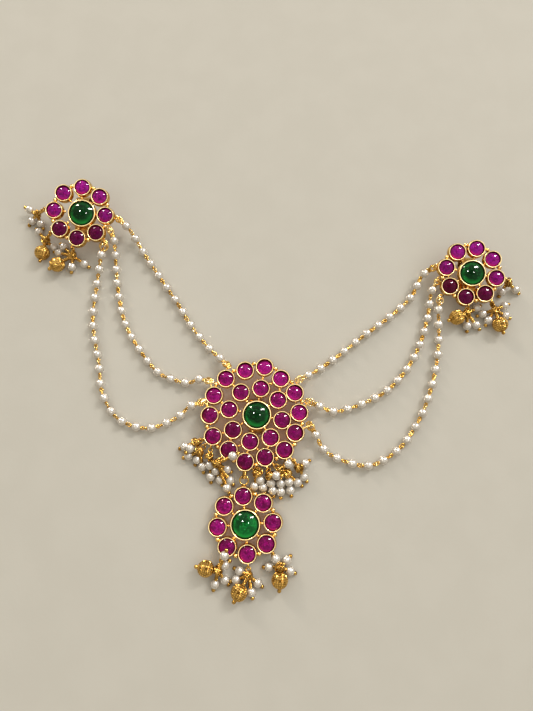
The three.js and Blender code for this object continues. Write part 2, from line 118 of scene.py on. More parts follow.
class SocketKind(Enum):
    """What the socket of a node group carries."""

    NUMBER = "NodeSocketFloat"
    PLACE = "NodeSocketVector"


# Shader node work


class NodeBench:
    """Adds and joins the nodes of one node tree."""

    def __init__(self, tree: bpy.types.NodeTree) -> None:
        """Keeps the tree that the nodes go into."""
        self.tree = tree

    def add(self, kind: str, **values: object) -> bpy.types.Node:
        """Adds a node and sets its sockets or properties.

        Args:
            kind: the node's type name.
            values: what is set, as in the method set.

        Returns:
            The new node.
        """
        node = self.tree.nodes.new(kind)
        self.set(node, **values)
        return node

    def set(self, node: bpy.types.Node, **values: object) -> None:
        """Sets sockets or properties of a node.

        Args:
            node: the node.
            values: socket names, with _ for a space, or property names, and what each is set to.
        """
        for key, value in values.items():
            if hasattr(node, key):
                setattr(node, key, value)
            else:
                self.feed(node.inputs[key.replace("_", " ")], value)

    def feed(self, socket: bpy.types.NodeSocket, value: object) -> None:
        """Links a socket to an output, or sets its own value.

        Args:
            socket: the socket.
            value: the output that it reads, or the value that it takes.
        """
        if isinstance(value, bpy.types.NodeSocket):
            self.tree.links.new(value, socket)
        else:
            socket.default_value = value

    def math(
        self, operation: str, first: object, second: object, clamp: bool = False
    ) -> bpy.types.NodeSocket:
        """One arithmetic step.

        Args:
            operation: the name of the Math node's operation.
            first: the first value or socket.
            second: the second value or socket.
            clamp: whether the result stays between 0 and 1.

        Returns:
            The result's socket.
        """
        node = self.add("ShaderNodeMath", operation=operation, use_clamp=clamp)
        self.feed(node.inputs[0], first)
        self.feed(node.inputs[1], second)
        return node.outputs[0]

    def times(self, first: object, second: object) -> bpy.types.NodeSocket:
        """The product of two values or sockets."""
        return self.math("MULTIPLY", first, second)

    def ramp(self, value: object, edges: Span, to: Span = FULL) -> bpy.types.NodeSocket:
        """A smooth step of a value from one range to another.

        Args:
            value: the value or socket to read.
            edges: where the step begins and where it ends.
            to: the results at its beginning and at its end.

        Returns:
            The result's socket.
        """
        node = self.add(
            "ShaderNodeMapRange",
            interpolation_type="SMOOTHSTEP",
            Value=value,
            From_Min=edges[0],
            From_Max=edges[1],
            To_Min=to[0],
            To_Max=to[1],
        )
        return node.outputs["Result"]

    def blend(self, share: object, first: object, second: object) -> bpy.types.NodeSocket:
        """A mix of two colours.

        Args:
            share: how much of the second colour shows.
            first: the first colour or socket.
            second: the second colour or socket.

        Returns:
            The mixed colour's socket.
        """
        node = self.add("ShaderNodeMix", data_type="RGBA", Factor=share)
        self.feed(node.inputs[MIX_FIRST], first)
        self.feed(node.inputs[MIX_SECOND], second)
        return node.outputs[MIX_RESULT]


def new_group(
    name: str, inputs: dict[str, SocketKind], outputs: Sequence[str]
) -> tuple[NodeBench, bpy.types.Node, bpy.types.Node]:
    """Starts a shader node group with named sockets.

    Args:
        name: the group's name.
        inputs: each input's name and what it carries.
        outputs: the outputs' names; each of them carries a number.

    Returns:
        A bench for the group, and the group's input and output nodes.
    """
    group = bpy.data.node_groups.new(name, "ShaderNodeTree")
    for label, kind in inputs.items():
        group.interface.new_socket(label, in_out="INPUT", socket_type=kind.value)
    for label in outputs:
        group.interface.new_socket(label, in_out="OUTPUT", socket_type=SocketKind.NUMBER.value)
    bench = NodeBench(group)
    return bench, bench.add("NodeGroupInput"), bench.add("NodeGroupOutput")


@dataclass(frozen=True)
class HandlingMarks:
    """Smears and fine scratches of a handled surface, as a mask and a height."""

    patch_detail: float = 3.0
    patch_edges: Span = (0.35, 0.68)
    mark_detail: float = 4.0

    def group(self) -> bpy.types.NodeTree:
        """Builds the node group.

        Returns:
            The group.
        """
        inputs = {
            "Vector": SocketKind.PLACE,
            "Patch Scale": SocketKind.NUMBER,
            "Mark Scale": SocketKind.NUMBER,
        }
        bench, inlet, outlet = new_group("handling_marks", inputs, ("Mask", "Height"))
        place = inlet.outputs["Vector"]
        patches = bench.add(
            "ShaderNodeTexNoise", Vector=place, Scale=inlet.outputs["Patch Scale"], Detail=self.patch_detail
        )
        marks = bench.add(
            "ShaderNodeTexNoise", Vector=place, Scale=inlet.outputs["Mark Scale"], Detail=self.mark_detail
        )
        mask = bench.ramp(patches.outputs["Fac"], self.patch_edges)
        bench.set(outlet, Mask=mask, Height=marks.outputs["Fac"])
        return bench.tree


@dataclass(frozen=True)
class StoneDepth:
    """Where light and shade gather in a domed stone, read from its dome map and its place."""

    map_middle: Point = (0.5, 0.5, 0.0)
    side_lean: float = 0.35
    far_rim: Span = (0.5, 0.86)
    far_edges: Span = (-0.12, -0.42)
    near_rim: Span = (0.66, 0.98)
    near_edges: Span = (0.05, 0.42)
    lee_lean: float = 0.8
    lee_edges: Span = (-0.35, 0.35)
    ring_edges: Span = (0.83, 0.93)
    halo_edges: Span = (0.55, 0.8)
    cloud_detail: float = 2.0
    cloud_edges: Span = (0.3, 0.7)
    caustic_fineness: float = 1.9
    caustic_detail: float = 1.5
    caustic_distortion: float = 1.4
    caustic_edges: Span = (0.53, 0.7)

    def group(self) -> bpy.types.NodeTree:
        """Builds the node group.

        Returns:
            The group.
        """
        inputs = {
            "Dome": SocketKind.PLACE,
            "Place": SocketKind.PLACE,
            "Cloud Scale": SocketKind.NUMBER,
        }
        outputs = ("Far Side", "Near Side", "Cloud", "Streak", "Lee", "Ring", "Halo")
        bench, inlet, outlet = new_group("stone_depth", inputs, outputs)
        centred = bench.add("ShaderNodeVectorMath", operation="SUBTRACT")
        bench.feed(centred.inputs[0], inlet.outputs["Dome"])
        bench.feed(centred.inputs[1], self.map_middle)
        split = bench.add("ShaderNodeSeparateXYZ", Vector=centred.outputs["Vector"])
        across, up = split.outputs["X"], split.outputs["Y"]
        length = bench.add("ShaderNodeVectorMath", operation="LENGTH")
        bench.feed(length.inputs[0], centred.outputs["Vector"])
        radius = bench.times(length.outputs["Value"], 2.0)
        side = bench.math("ADD", up, bench.times(across, self.side_lean))
        lee = bench.math("SUBTRACT", up, bench.times(across, self.lee_lean))
        place, scale = inlet.outputs["Place"], inlet.outputs["Cloud Scale"]
        cloud = bench.add("ShaderNodeTexNoise", Vector=place, Scale=scale, Detail=self.cloud_detail)
        caustic = bench.add(
            "ShaderNodeTexNoise",
            Vector=place,
            Scale=bench.times(scale, self.caustic_fineness),
            Detail=self.caustic_detail,
            Distortion=self.caustic_distortion,
        )
        # Far Side is a painted glow along the lower rim, Near Side painted shade along the upper rim, Lee
        # painted shade over the upper half, Ring painted shade round the edge and Halo a painted bright ring
        # inside it; the finer noise marks painted sparkle, and Cloud is the glass's own cloudiness.
        bench.set(
            outlet,
            Far_Side=bench.times(bench.ramp(radius, self.far_rim), bench.ramp(side, self.far_edges)),
            Near_Side=bench.times(bench.ramp(radius, self.near_rim), bench.ramp(side, self.near_edges)),
            Cloud=bench.ramp(cloud.outputs["Fac"], self.cloud_edges),
            Streak=bench.ramp(caustic.outputs["Fac"], self.caustic_edges),
            Lee=bench.ramp(lee, self.lee_edges),
            Ring=bench.ramp(radius, self.ring_edges),
            Halo=bench.ramp(radius, self.halo_edges),
        )
        return bench.tree


class SharedEffects:
    """The node groups that several finishes use."""

    def __init__(self) -> None:
        """Builds the groups once."""
        self.handling = HandlingMarks().group()
        self.depth = StoneDepth().group()


# Finishes


@dataclass(frozen=True)
class Dressing:
    """A finished material and the record's slot that it matches."""

    material: bpy.types.Material
    slot: Slot | None


@dataclass(frozen=True)
class Finish:
    """A finish with its own material; the kinds below say what it looks like."""

    name: str
    slot: Slot | None = None

    def dressing(self, effects: SharedEffects) -> Dressing:
        """Builds the finish's material.

        Args:
            effects: the shared node groups.

        Returns:
            The material with its slot.
        """
        material = bpy.data.materials.new(self.name)
        material.use_nodes = True
        self._set_up(NodeBench(material.node_tree), material.node_tree.nodes["Principled BSDF"], effects)
        return Dressing(material, self.slot)

    def _set_up(self, bench: NodeBench, shader: bpy.types.Node, effects: SharedEffects) -> None:
        """Sets the shader up; each kind of finish does it in its own way."""
        raise NotImplementedError

    @staticmethod
    def _tone(bench: NodeBench) -> bpy.types.NodeSocket:
        """How light the piece is painted at each point; on the gold and the stones it carries painted light
        and shade.
        """
        return bench.add("ShaderNodeAttribute", attribute_name=TONE).outputs["Fac"]

    @staticmethod
    def _marks(
        bench: NodeBench, effects: SharedEffects, patch_scale: float, mark_scale: float
    ) -> bpy.types.bpy_prop_collection:
        """Places the handling marks.

        Args:
            bench: takes the nodes.
            effects: the shared node groups.
            patch_scale: how fine the smears are.
            mark_scale: how fine the scratches are.

        Returns:
            The outputs of the marks' node.
        """
        marks = bench.add(
            "ShaderNodeGroup",
            node_tree=effects.handling,
            Vector=bench.add("ShaderNodeTexCoord").outputs["Object"],
            Patch_Scale=patch_scale,
            Mark_Scale=mark_scale,
        )
        return marks.outputs


@dataclass(frozen=True)
class GoldPlate(Finish):
    """Polished gold plating with a painted highlight on its rims' tops, and painted shade with patina in its
    hollows.
    """

    # The rim colour is a painted highlight on the rims' tops; the dark colour is painted shade with patina
    # in the hollows.
    rim: Colour = (1.0, 0.79, 0.42, 1.0)
    bright: Colour = (0.95, 0.62, 0.18, 1.0)
    deep: Colour = (0.5, 0.27, 0.045, 1.0)
    dark: Colour = (0.14, 0.055, 0.008, 1.0)
    shade_and_patina: ShadeAndPatina = ShadeAndPatina.BRIGHT
    patch_scale: float = 520.0
    mark_scale: float = 4200.0
    rim_tones: Span = (0.6, 1.0)
    hollow_tones: Span = (0.5, 0.0)
    polish: Span = (0.16, 0.26)
    haze: float = 0.22
    haze_tones: Span = (0.85, 1.0)
    bump: float = 0.18
    bump_depth: float = 0.00006

    def _set_up(self, bench: NodeBench, shader: bpy.types.Node, effects: SharedEffects) -> None:
        """Sets the shader up.

        Args:
            bench: takes the nodes.
            shader: the material's shader.
            effects: the shared node groups.
        """
        marks = self._marks(bench, effects, self.patch_scale, self.mark_scale)
        tone = self._tone(bench)
        plate = bench.blend(marks["Mask"], self.deep, self.bright)
        # Painted highlight: the lightest tones take the rim colour.
        rim_highlighted = bench.blend(bench.ramp(tone, self.rim_tones), plate, self.rim)
        # Painted shade with patina: the lowest tones darken towards the dark colour, more so on antique
        # gold.
        hollow = bench.times(bench.ramp(tone, self.hollow_tones), self.shade_and_patina.value)
        polish = bench.ramp(marks["Mask"], FULL, self.polish)
        haze = bench.ramp(tone, self.haze_tones, (0.0, self.haze))
        bump = bench.add(
            "ShaderNodeBump", Strength=self.bump, Distance=self.bump_depth, Height=marks["Height"]
        )
        bench.set(
            shader,
            Base_Color=bench.blend(hollow, rim_highlighted, self.dark),
            Metallic=1.0,
            Roughness=bench.math("ADD", polish, haze),
            Normal=bump.outputs["Normal"],
        )


@dataclass(frozen=True)
class GlassStone(Finish):
    """A domed glass stone, clear and deep-coloured, with painted light and shade: a painted glow along its
    lower rim, painted sparkle, and painted shade over its upper side and round its edge.
    """

    # body and light are the darkest and lightest colours inside the glass; glow is a painted glow and edge
    # the colour of painted shade.
    body: Colour = (0.075, 0.002, 0.018, 1.0)
    light: Colour = (0.35, 0.008, 0.21, 1.0)
    glow: Colour = (0.7, 0.02, 0.3, 1.0)
    edge: Colour = (0.085, 0.001, 0.012, 1.0)
    cloud_scale: float = 700.0
    veil: Span = (0.5, 1.3)
    lee: float = 0.12
    least_glow: float = 0.0
    glow_tones: Span = (0.0, 0.8)
    sparkle: Span = (0.15, 0.55)
    sparkle_tones: Span = (0.0, 0.7)
    halo: float = 0.0
    ring: float = 0.85
    roughness: float = 0.3
    coat: float = 0.28
    coat_roughness: float = 0.04
    coat_ior: float = 1.42

    def _set_up(self, bench: NodeBench, shader: bpy.types.Node, effects: SharedEffects) -> None:
        """Sets the shader up.

        Args:
            bench: takes the nodes.
            shader: the material's shader.
            effects: the shared node groups.
        """
        depth = bench.add(
            "ShaderNodeGroup",
            node_tree=effects.depth,
            Dome=bench.add("ShaderNodeUVMap", uv_map=DOME_MAP).outputs["UV"],
            Place=bench.add("ShaderNodeTexCoord").outputs["Object"],
            Cloud_Scale=self.cloud_scale,
        ).outputs
        tone = self._tone(bench)
        veil = bench.ramp(depth["Cloud"], FULL, self.veil)
        # Painted shade: the upper side of the stone is painted darker and its lower side lighter.
        open_side = bench.ramp(depth["Lee"], FULL, (1.0 + self.lee, 1.0 - self.lee))
        lightness = bench.math("MULTIPLY", bench.times(tone, veil), open_side, clamp=True)
        inside = bench.blend(lightness, self.body, self.light)
        share = bench.ramp(tone, self.glow_tones, (self.least_glow, 1.0))
        # Painted glow along the lower rim, as if light left the stone there.
        glowing = bench.blend(bench.times(depth["Far Side"], share), inside, self.glow)
        # Painted sparkle from a fine noise, and a painted bright ring just inside the edge.
        sparkle = bench.times(depth["Streak"], bench.ramp(tone, self.sparkle_tones, self.sparkle))
        halo = bench.times(depth["Halo"], bench.times(veil, self.halo))
        lit = bench.blend(bench.math("MAXIMUM", sparkle, halo), glowing, self.glow)
        # Painted shade along the upper rim and all round the edge.
        shaded = bench.math("MAXIMUM", depth["Near Side"], bench.times(depth["Ring"], self.ring))
        bench.set(
            shader,
            Base_Color=bench.blend(shaded, lit, self.edge),
            Roughness=self.roughness,
            Specular_IOR_Level=0.0,
            Coat_Weight=self.coat,
            Coat_Roughness=self.coat_roughness,
            Coat_IOR=self.coat_ior,
        )


@dataclass(frozen=True)
class PearlLustre(Finish):
    """White pearl with a soft cream body, a glossy skin and painted shade: a faint darker ring part way out
    from its middle, and a dark outline at its rim.
    """

    white: Colour = (0.8, 0.765, 0.71, 1.0)
    cream: Colour = (0.66, 0.61, 0.53, 1.0)
    # The edge colour is painted shade: a dark outline where the skin turns away from view.
    edge: Colour = (0.29, 0.18, 0.08, 1.0)
    edge_facing: Span = (0.36, 0.66)
    # The ring colour is painted shade: a darker band part way out from the middle as seen.
    ring: Colour = (0.44, 0.375, 0.29, 1.0)
    ring_depth: float = 0.65
    ring_start: Span = (0.02, 0.1)
    ring_end: Span = (0.4, 0.16)
    facing_blend: float = 0.35
    patch_scale: float = 380.0
    mark_scale: float = 2600.0
    mark_heights: Span = (0.3, 0.7)
    roughness: Span = (0.16, 0.3)
    coat: float = 1.0
    coat_roughness: float = 0.28
    coat_ior: float = 1.8

    def _set_up(self, bench: NodeBench, shader: bpy.types.Node, effects: SharedEffects) -> None:
        """Sets the shader up.

        Args:
            bench: takes the nodes.
            shader: the material's shader.
            effects: the shared node groups.
        """
        marks = self._marks(bench, effects, self.patch_scale, self.mark_scale)
        share = bench.times(bench.math("ADD", self._tone(bench), marks["Mask"]), 0.5)
        skin = bench.blend(share, self.cream, self.white)
        facing = bench.add("ShaderNodeLayerWeight", Blend=self.facing_blend).outputs["Facing"]
        # Painted shade: a darker band part way out from the middle as seen.
        ring = bench.times(bench.ramp(facing, self.ring_start), bench.ramp(facing, self.ring_end))
        ringed = bench.blend(bench.times(ring, self.ring_depth), skin, self.ring)
        # Painted shade: the dark outline at the rim as seen.
        bench.set(
            shader,
            Base_Color=bench.blend(bench.ramp(facing, self.edge_facing), ringed, self.edge),
            Roughness=bench.ramp(marks["Height"], self.mark_heights, self.roughness),
            Coat_Weight=self.coat,
            Coat_Roughness=self.coat_roughness,
            Coat_IOR=self.coat_ior,
        )


@dataclass(frozen=True)
class PaleFloor(Finish):
    """The plain pale surface that the ornament lies on."""

    paper: Colour = (0.62, 0.595, 0.53, 1.0)
    fleck: Colour = (0.605, 0.58, 0.515, 1.0)
    patch_scale: float = 60.0
    mark_scale: float = 900.0
    roughness: float = 0.85
    bump: float = 0.12
    bump_depth: float = 0.0002

    def _set_up(self, bench: NodeBench, shader: bpy.types.Node, effects: SharedEffects) -> None:
        """Sets the shader up.

        Args:
            bench: takes the nodes.
            shader: the material's shader.
            effects: the shared node groups.
        """
        marks = self._marks(bench, effects, self.patch_scale, self.mark_scale)
        bump = bench.add(
            "ShaderNodeBump", Strength=self.bump, Distance=self.bump_depth, Height=marks["Height"]
        )
        bench.set(
            shader,
            Base_Color=bench.blend(marks["Mask"], self.fleck, self.paper),
            Roughness=self.roughness,
            Normal=bump.outputs["Normal"],
        )


ANTIQUE_GOLD = GoldPlate(
    "antique_gold_plate",
    Slot.GOLD,
    rim=(0.86, 0.59, 0.2, 1.0),
    bright=(0.7, 0.42, 0.1, 1.0),
    shade_and_patina=ShadeAndPatina.ANTIQUE,
)
WIRE_GOLD = GoldPlate(
    "wire_gold_plate",
    Slot.GOLD,
    rim=(0.82, 0.55, 0.18, 1.0),
    bright=(0.76, 0.47, 0.115, 1.0),
    deep=(0.36, 0.185, 0.03, 1.0),
    shade_and_patina=ShadeAndPatina.ANTIQUE,
)
EMERALD_GLASS = GlassStone(
    "emerald_glass_dome",
    Slot.EMERALD,
    body=(0.004, 0.02, 0.006, 1.0),
    light=(0.006, 0.155, 0.03, 1.0),
    glow=(0.02, 0.42, 0.07, 1.0),
    edge=(0.003, 0.012, 0.004, 1.0),
    cloud_scale=420.0,
    lee=0.6,
    least_glow=0.6,
    halo=0.22,
    ring=0.95,
)


class FinishRack:
    """The finishes of the whole ornament, each built once."""

    def __init__(self) -> None:
        """Builds every material."""
        effects = SharedEffects()
        pink = GlassStone("pink_ruby_glass_dome", Slot.RUBY, light=(0.37, 0.011, 0.33, 1.0))
        self.gold = GoldPlate("bright_gold_plate", Slot.GOLD).dressing(effects)
        self.antique = ANTIQUE_GOLD.dressing(effects)
        self.wire = WIRE_GOLD.dressing(effects)
        self.ruby = GlassStone("ruby_glass_dome", Slot.RUBY).dressing(effects)
        self.pink = pink.dressing(effects)
        self.emerald = EMERALD_GLASS.dressing(effects)
        self.pearl = PearlLustre("pearl_lustre", Slot.PEARL).dressing(effects)
        self.floor = PaleFloor("pale_floor").dressing(effects)


# Small shapes that are stamped many times


@dataclass(frozen=True)
class WireRing:
    """Sizes of a wire ring, in millimetres, and how many sides the ring and its wire have."""

    radius: float
    wire: float
    around: int
    section: int


@dataclass(frozen=True)
class CutBall:
    """Sizes of a gold ball whose skin is cut into rows of raised pads, in millimetres."""

    radius: float
    around: int
    rings: int
    pad_rise: float
    pad_inset: float
    pad_tone: float
    crease: float


class Moulds:
    """Small shapes, in millimetres, that the pieces are stamped from; each is made once."""

    def __init__(self) -> None:
        """Starts with no mould made."""
        self._made: list[bpy.types.Mesh] = []

    def _keep(self, bm: bmesh.types.BMesh, crease: float = 0.7) -> bpy.types.Mesh:
        """Turns a finished bmesh into a mould.

        Args:
            bm: the shape, which is used up.
            crease: the angle between faces, in radians, above which an edge stays sharp.

        Returns:
            The mould's mesh.
        """
        bmesh.ops.recalc_face_normals(bm, faces=bm.faces)
        for face in bm.faces:
            face.smooth = True
        for edge in bm.edges:
            edge.smooth = len(edge.link_faces) == 2 and edge.calc_face_angle() < crease
        mesh = bpy.data.meshes.new("mould")
        bm.to_mesh(mesh)
        bm.free()
        self._made.append(mesh)
        return mesh

    @staticmethod
    def _spin(bm: bmesh.types.BMesh, steps: int) -> None:
        """Spins all that a bmesh holds once round Z.

        Args:
            bm: the shape.
            steps: how many sides it gets.
        """
        bmesh.ops.spin(
            bm,
            geom=bm.verts[:] + bm.edges[:],
            cent=(0, 0, 0),
            axis=UP,
            angle=math.tau,
            steps=steps,
            use_merge=True,
        )
        bmesh.ops.remove_doubles(bm, verts=bm.verts, dist=MERGE_DISTANCE)

    @cache
    def turned(self, profile: Profile, steps: int, closed: bool, dome: float = 0.0) -> bpy.types.Mesh:
        """A shape turned about Z from a profile.

        Args:
            profile: radius, height and tone of each point, in order.
            steps: how many sides it has.
            closed: whether the profile's end joins its start, as in a ring.
            dome: radius that the dome map covers, or 0 for no map.

        Returns:
            The mould's mesh.
        """
        bm = bmesh.new()
        tone = bm.verts.layers.float.new(TONE)
        points = []
        for radius, height, shade in profile:
            point = bm.verts.new((radius, 0.0, height))
            point[tone] = shade
            points.append(point)
        pairs = list(zip(points, points[1:]))
        if closed:
            pairs.append((points[-1], points[0]))
        for pair in pairs:
            bm.edges.new(pair)
        self._spin(bm, steps)
        if dome:
            layer = bm.loops.layers.uv.new(DOME_MAP)
            for face in bm.faces:
                for loop in face.loops:
                    spot = loop.vert.co
                    loop[layer].uv = (0.5 + 0.5 * spot.x / dome, 0.5 + 0.5 * spot.y / dome)
        return self._keep(bm)

    @cache
    def ring(self, size: WireRing) -> bpy.types.Mesh:
        """A wire ring lying in its own XY plane.

        Args:
            size: its sizes.

        Returns:
            The mould's mesh.
        """
        bm = bmesh.new()
        bmesh.ops.create_circle(bm, cap_ends=False, radius=size.wire, segments=size.section)
        upended = Matrix.Rotation(math.pi / 2, 3, "X")
        bmesh.ops.rotate(bm, cent=(0, 0, 0), matrix=upended, verts=bm.verts)
        bmesh.ops.translate(bm, vec=(size.radius, 0, 0), verts=bm.verts)
        self._spin(bm, size.around)
        return self._keep(bm, crease=math.pi)

    @cache
    def ball(self, radius: float, around: int = 14, rings: int = 8) -> bpy.types.Mesh:
        """A round ball with its poles on Z.

        Args:
            radius: its radius.
            around: sides round it.
            rings: rings from pole to pole.

        Returns:
            The mould's mesh.
        """
        bm = bmesh.new()
        bmesh.ops.create_uvsphere(bm, u_segments=around, v_segments=rings, radius=radius)
        return self._keep(bm, crease=math.pi)

    @cache
    def cut_ball(self, size: CutBall) -> bpy.types.Mesh:
        """A gold ball with dark grooves between its raised pads, and its poles on Z.

        Args:
            size: its sizes.

        Returns:
            The mould's mesh.
        """
        bm = bmesh.new()
        tone = bm.verts.layers.float.new(TONE)
        core = size.radius - size.pad_rise
        bmesh.ops.create_uvsphere(bm, u_segments=size.around, v_segments=size.rings, radius=core)
        grooves = set(bm.verts)
        pads = [face for face in bm.faces if len(face.verts) == 4]
        bmesh.ops.inset_individual(
            bm, faces=pads, thickness=size.pad_inset, depth=size.pad_rise, use_even_offset=True
        )
        # The grooves take tone 0, which the gold paints darkest as painted shade with patina.
        for point in bm.verts:
            point[tone] = 0.0 if point in grooves else size.pad_tone
        return self._keep(bm, crease=size.crease)

    @cache
    def rod(self, radius: float, length: float, sides: int = 6) -> bpy.types.Mesh:
        """A short straight wire along Z, from 0 up.

        Args:
            radius: the wire's radius.
            length: its length.
            sides: its sides.

        Returns:
            The mould's mesh.
        """
        bm = bmesh.new()
        bmesh.ops.create_cone(
            bm, cap_ends=True, segments=sides, radius1=radius, radius2=radius, depth=length
        )
        bmesh.ops.translate(bm, vec=(0, 0, length / 2), verts=bm.verts)
        return self._keep(bm)

    def clear(self) -> None:
        """Removes the moulds once every piece is stamped."""
        for mesh in self._made:
            bpy.data.meshes.remove(mesh)
        self._made.clear()


def along(point: Vector, way: Vector, twist: float = 0.0) -> Matrix:
    """A place whose Z points along a line.

    Args:
        point: the place's origin.
        way: the direction that Z takes.
        twist: turn about that direction, in degrees.

    Returns:
        The place's matrix.
    """
    turn = UP.rotation_difference(way).to_matrix().to_4x4()
    return Matrix.Translation(point) @ turn @ Matrix.Rotation(math.radians(twist), 4, "Z")


def upright(point: Vector, way: Vector, twist: float = 0.0) -> Matrix:
    """A place for a ring whose plane holds a line.

    Args:
        point: the ring's middle.
        way: the line that its plane holds.
        twist: turn about that line, in degrees; at 0 the ring stands up and at 90 it lies flat.

    Returns:
        The place's matrix.
    """
    side = UP.cross(way)
    side = side.normalized() if side.length > NEARLY_ZERO else Vector((1.0, 0.0, 0.0))
    normal = Matrix.Rotation(math.radians(twist), 3, way) @ side
    turn = Matrix((way, normal.cross(way), normal)).transposed().to_4x4()
    return Matrix.Translation(point) @ turn


class Piece:
    """One visible piece, gathered from stamped moulds."""

    def __init__(self, name: str) -> None:
        """Starts an empty piece.

        Args:
            name: the name that its object gets.
        """
        self.name = name
        self.bm = bmesh.new()
        self.bm.verts.layers.float.new(TONE)

    def stamp(self, mould: bpy.types.Mesh, place: Matrix, tone: float | None = None) -> None:
        """Adds a copy of a mould.

        Args:
            mould: the shape to copy.
            place: where it goes, in millimetres.
            tone: how light the copy is, or None to keep the mould's own tones.
        """
        count = len(self.bm.verts)
        self.bm.from_mesh(mould)
        self.bm.verts.ensure_lookup_table()
        fresh = self.bm.verts[count:]
        bmesh.ops.transform(self.bm, matrix=place, verts=fresh)
        if tone is None:
            return
        layer = self.bm.verts.layers.float[TONE]
        for point in fresh:
            point[layer] = tone

    def close(self, dressing: Dressing, nodes: Iterable[str]) -> bpy.types.Object:
        """Turns the piece into an object that stands for its solids.

        Args:
            dressing: the material that it takes.
            nodes: the solids that it replaces.

        Returns:
            The new object.
        """
        bmesh.ops.scale(self.bm, vec=(MM, MM, MM), verts=self.bm.verts)
        mesh = bpy.data.meshes.new(self.name)
        self.bm.to_mesh(mesh)
        self.bm.free()
        mesh.materials.append(dressing.material)
        piece = bpy.data.objects.new(self.name, mesh)
        bpy.context.scene.collection.objects.link(piece)
        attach(piece, ROOT)
        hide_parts(*nodes)
        LOG.info("%s: %d faces", self.name, len(mesh.polygons))
        return piece


# Florets


@dataclass(frozen=True)
class BezelSizes:
    """Sizes of a stone's bezel and of the dome set in it, in millimetres."""

    outer: float
    base: float
    wall: float
    height: float
    crown: float
    girdle_drop: float
    sides: int
    stone_gap: float = 0.06
    keel_inset: float = 0.45
    keel_drop: float = 0.55
    back_drop: float = 0.9
    dome_steps: int = 8
    stone_tone: float = 0.5

    def opening(self) -> float:
        """Radius inside the rim."""
        return self.outer - self.wall

    def bezel_profile(self) -> Profile:
        """The section of the bezel's wall, from its base up outside and down inside.

        Returns:
            Radius, height and tone of each point.
        """
        rim = self.opening()
        flare = self.base - self.outer
        # The tones paint light and shade: the rim's top lightest as a painted highlight, the walls darker
        # and the inside darkest as painted shade with patina.
        return (
            (self.base, -self.height, 0.35),
            (self.base - 0.1 * flare, -0.7 * self.height, 0.42),
            (self.outer + 0.3 * flare, -0.3 * self.height, 0.5),
            (self.outer, -0.25, 0.4),
            (self.outer - 0.15 * self.wall, -0.1, 0.6),
            (self.outer - 0.4 * self.wall, 0.0, 1.0),
            (rim + 0.3 * self.wall, 0.0, 1.0),
            (rim + 0.12 * self.wall, -0.06, 0.8),
            (rim, -0.2, 0.3),
            (rim - 0.03, -self.girdle_drop - 0.15, 0.2),
            (rim - 0.5, -self.girdle_drop - 0.6, 0.1),
            (rim - 0.4, -self.height, 0.1),
        )

    def dome_profile(self) -> Profile:
        """The section of the stone, from its crown down to the middle of its back.

        Returns:
            Radius, height and tone of each point.
        """
        girdle = self.opening() - self.stone_gap
        rise = self.crown + self.girdle_drop
        sphere = (girdle * girdle + rise * rise) / (2 * rise)
        swing = math.asin(min(1.0, girdle / sphere))
        section = []
        for step in range(self.dome_steps + 1):
            angle = swing * step / self.dome_steps
            height = self.crown - sphere * (1 - math.cos(angle))
            section.append((sphere * math.sin(angle), height, self.stone_tone))
        section.append((girdle - self.keel_inset, -self.girdle_drop - self.keel_drop, self.stone_tone))
        section.append((0.0, -self.girdle_drop - self.back_drop, self.stone_tone))
        return tuple(section)

    def bezel(self, moulds: Moulds) -> bpy.types.Mesh:
        """The mould of the bezel."""
        return moulds.turned(self.bezel_profile(), self.sides, True)

    def dome(self, moulds: Moulds) -> bpy.types.Mesh:
        """The mould of the stone."""
        return moulds.turned(self.dome_profile(), self.sides, False, self.opening())


SMALL_BEZEL = BezelSizes(
    outer=3.48, base=3.74, wall=0.47, height=2.0, crown=0.5, girdle_drop=0.65, sides=28
)
MIDDLE_BEZEL = BezelSizes(
    outer=5.56, base=5.9, wall=0.56, height=2.0, crown=1.4, girdle_drop=0.6, sides=40
)


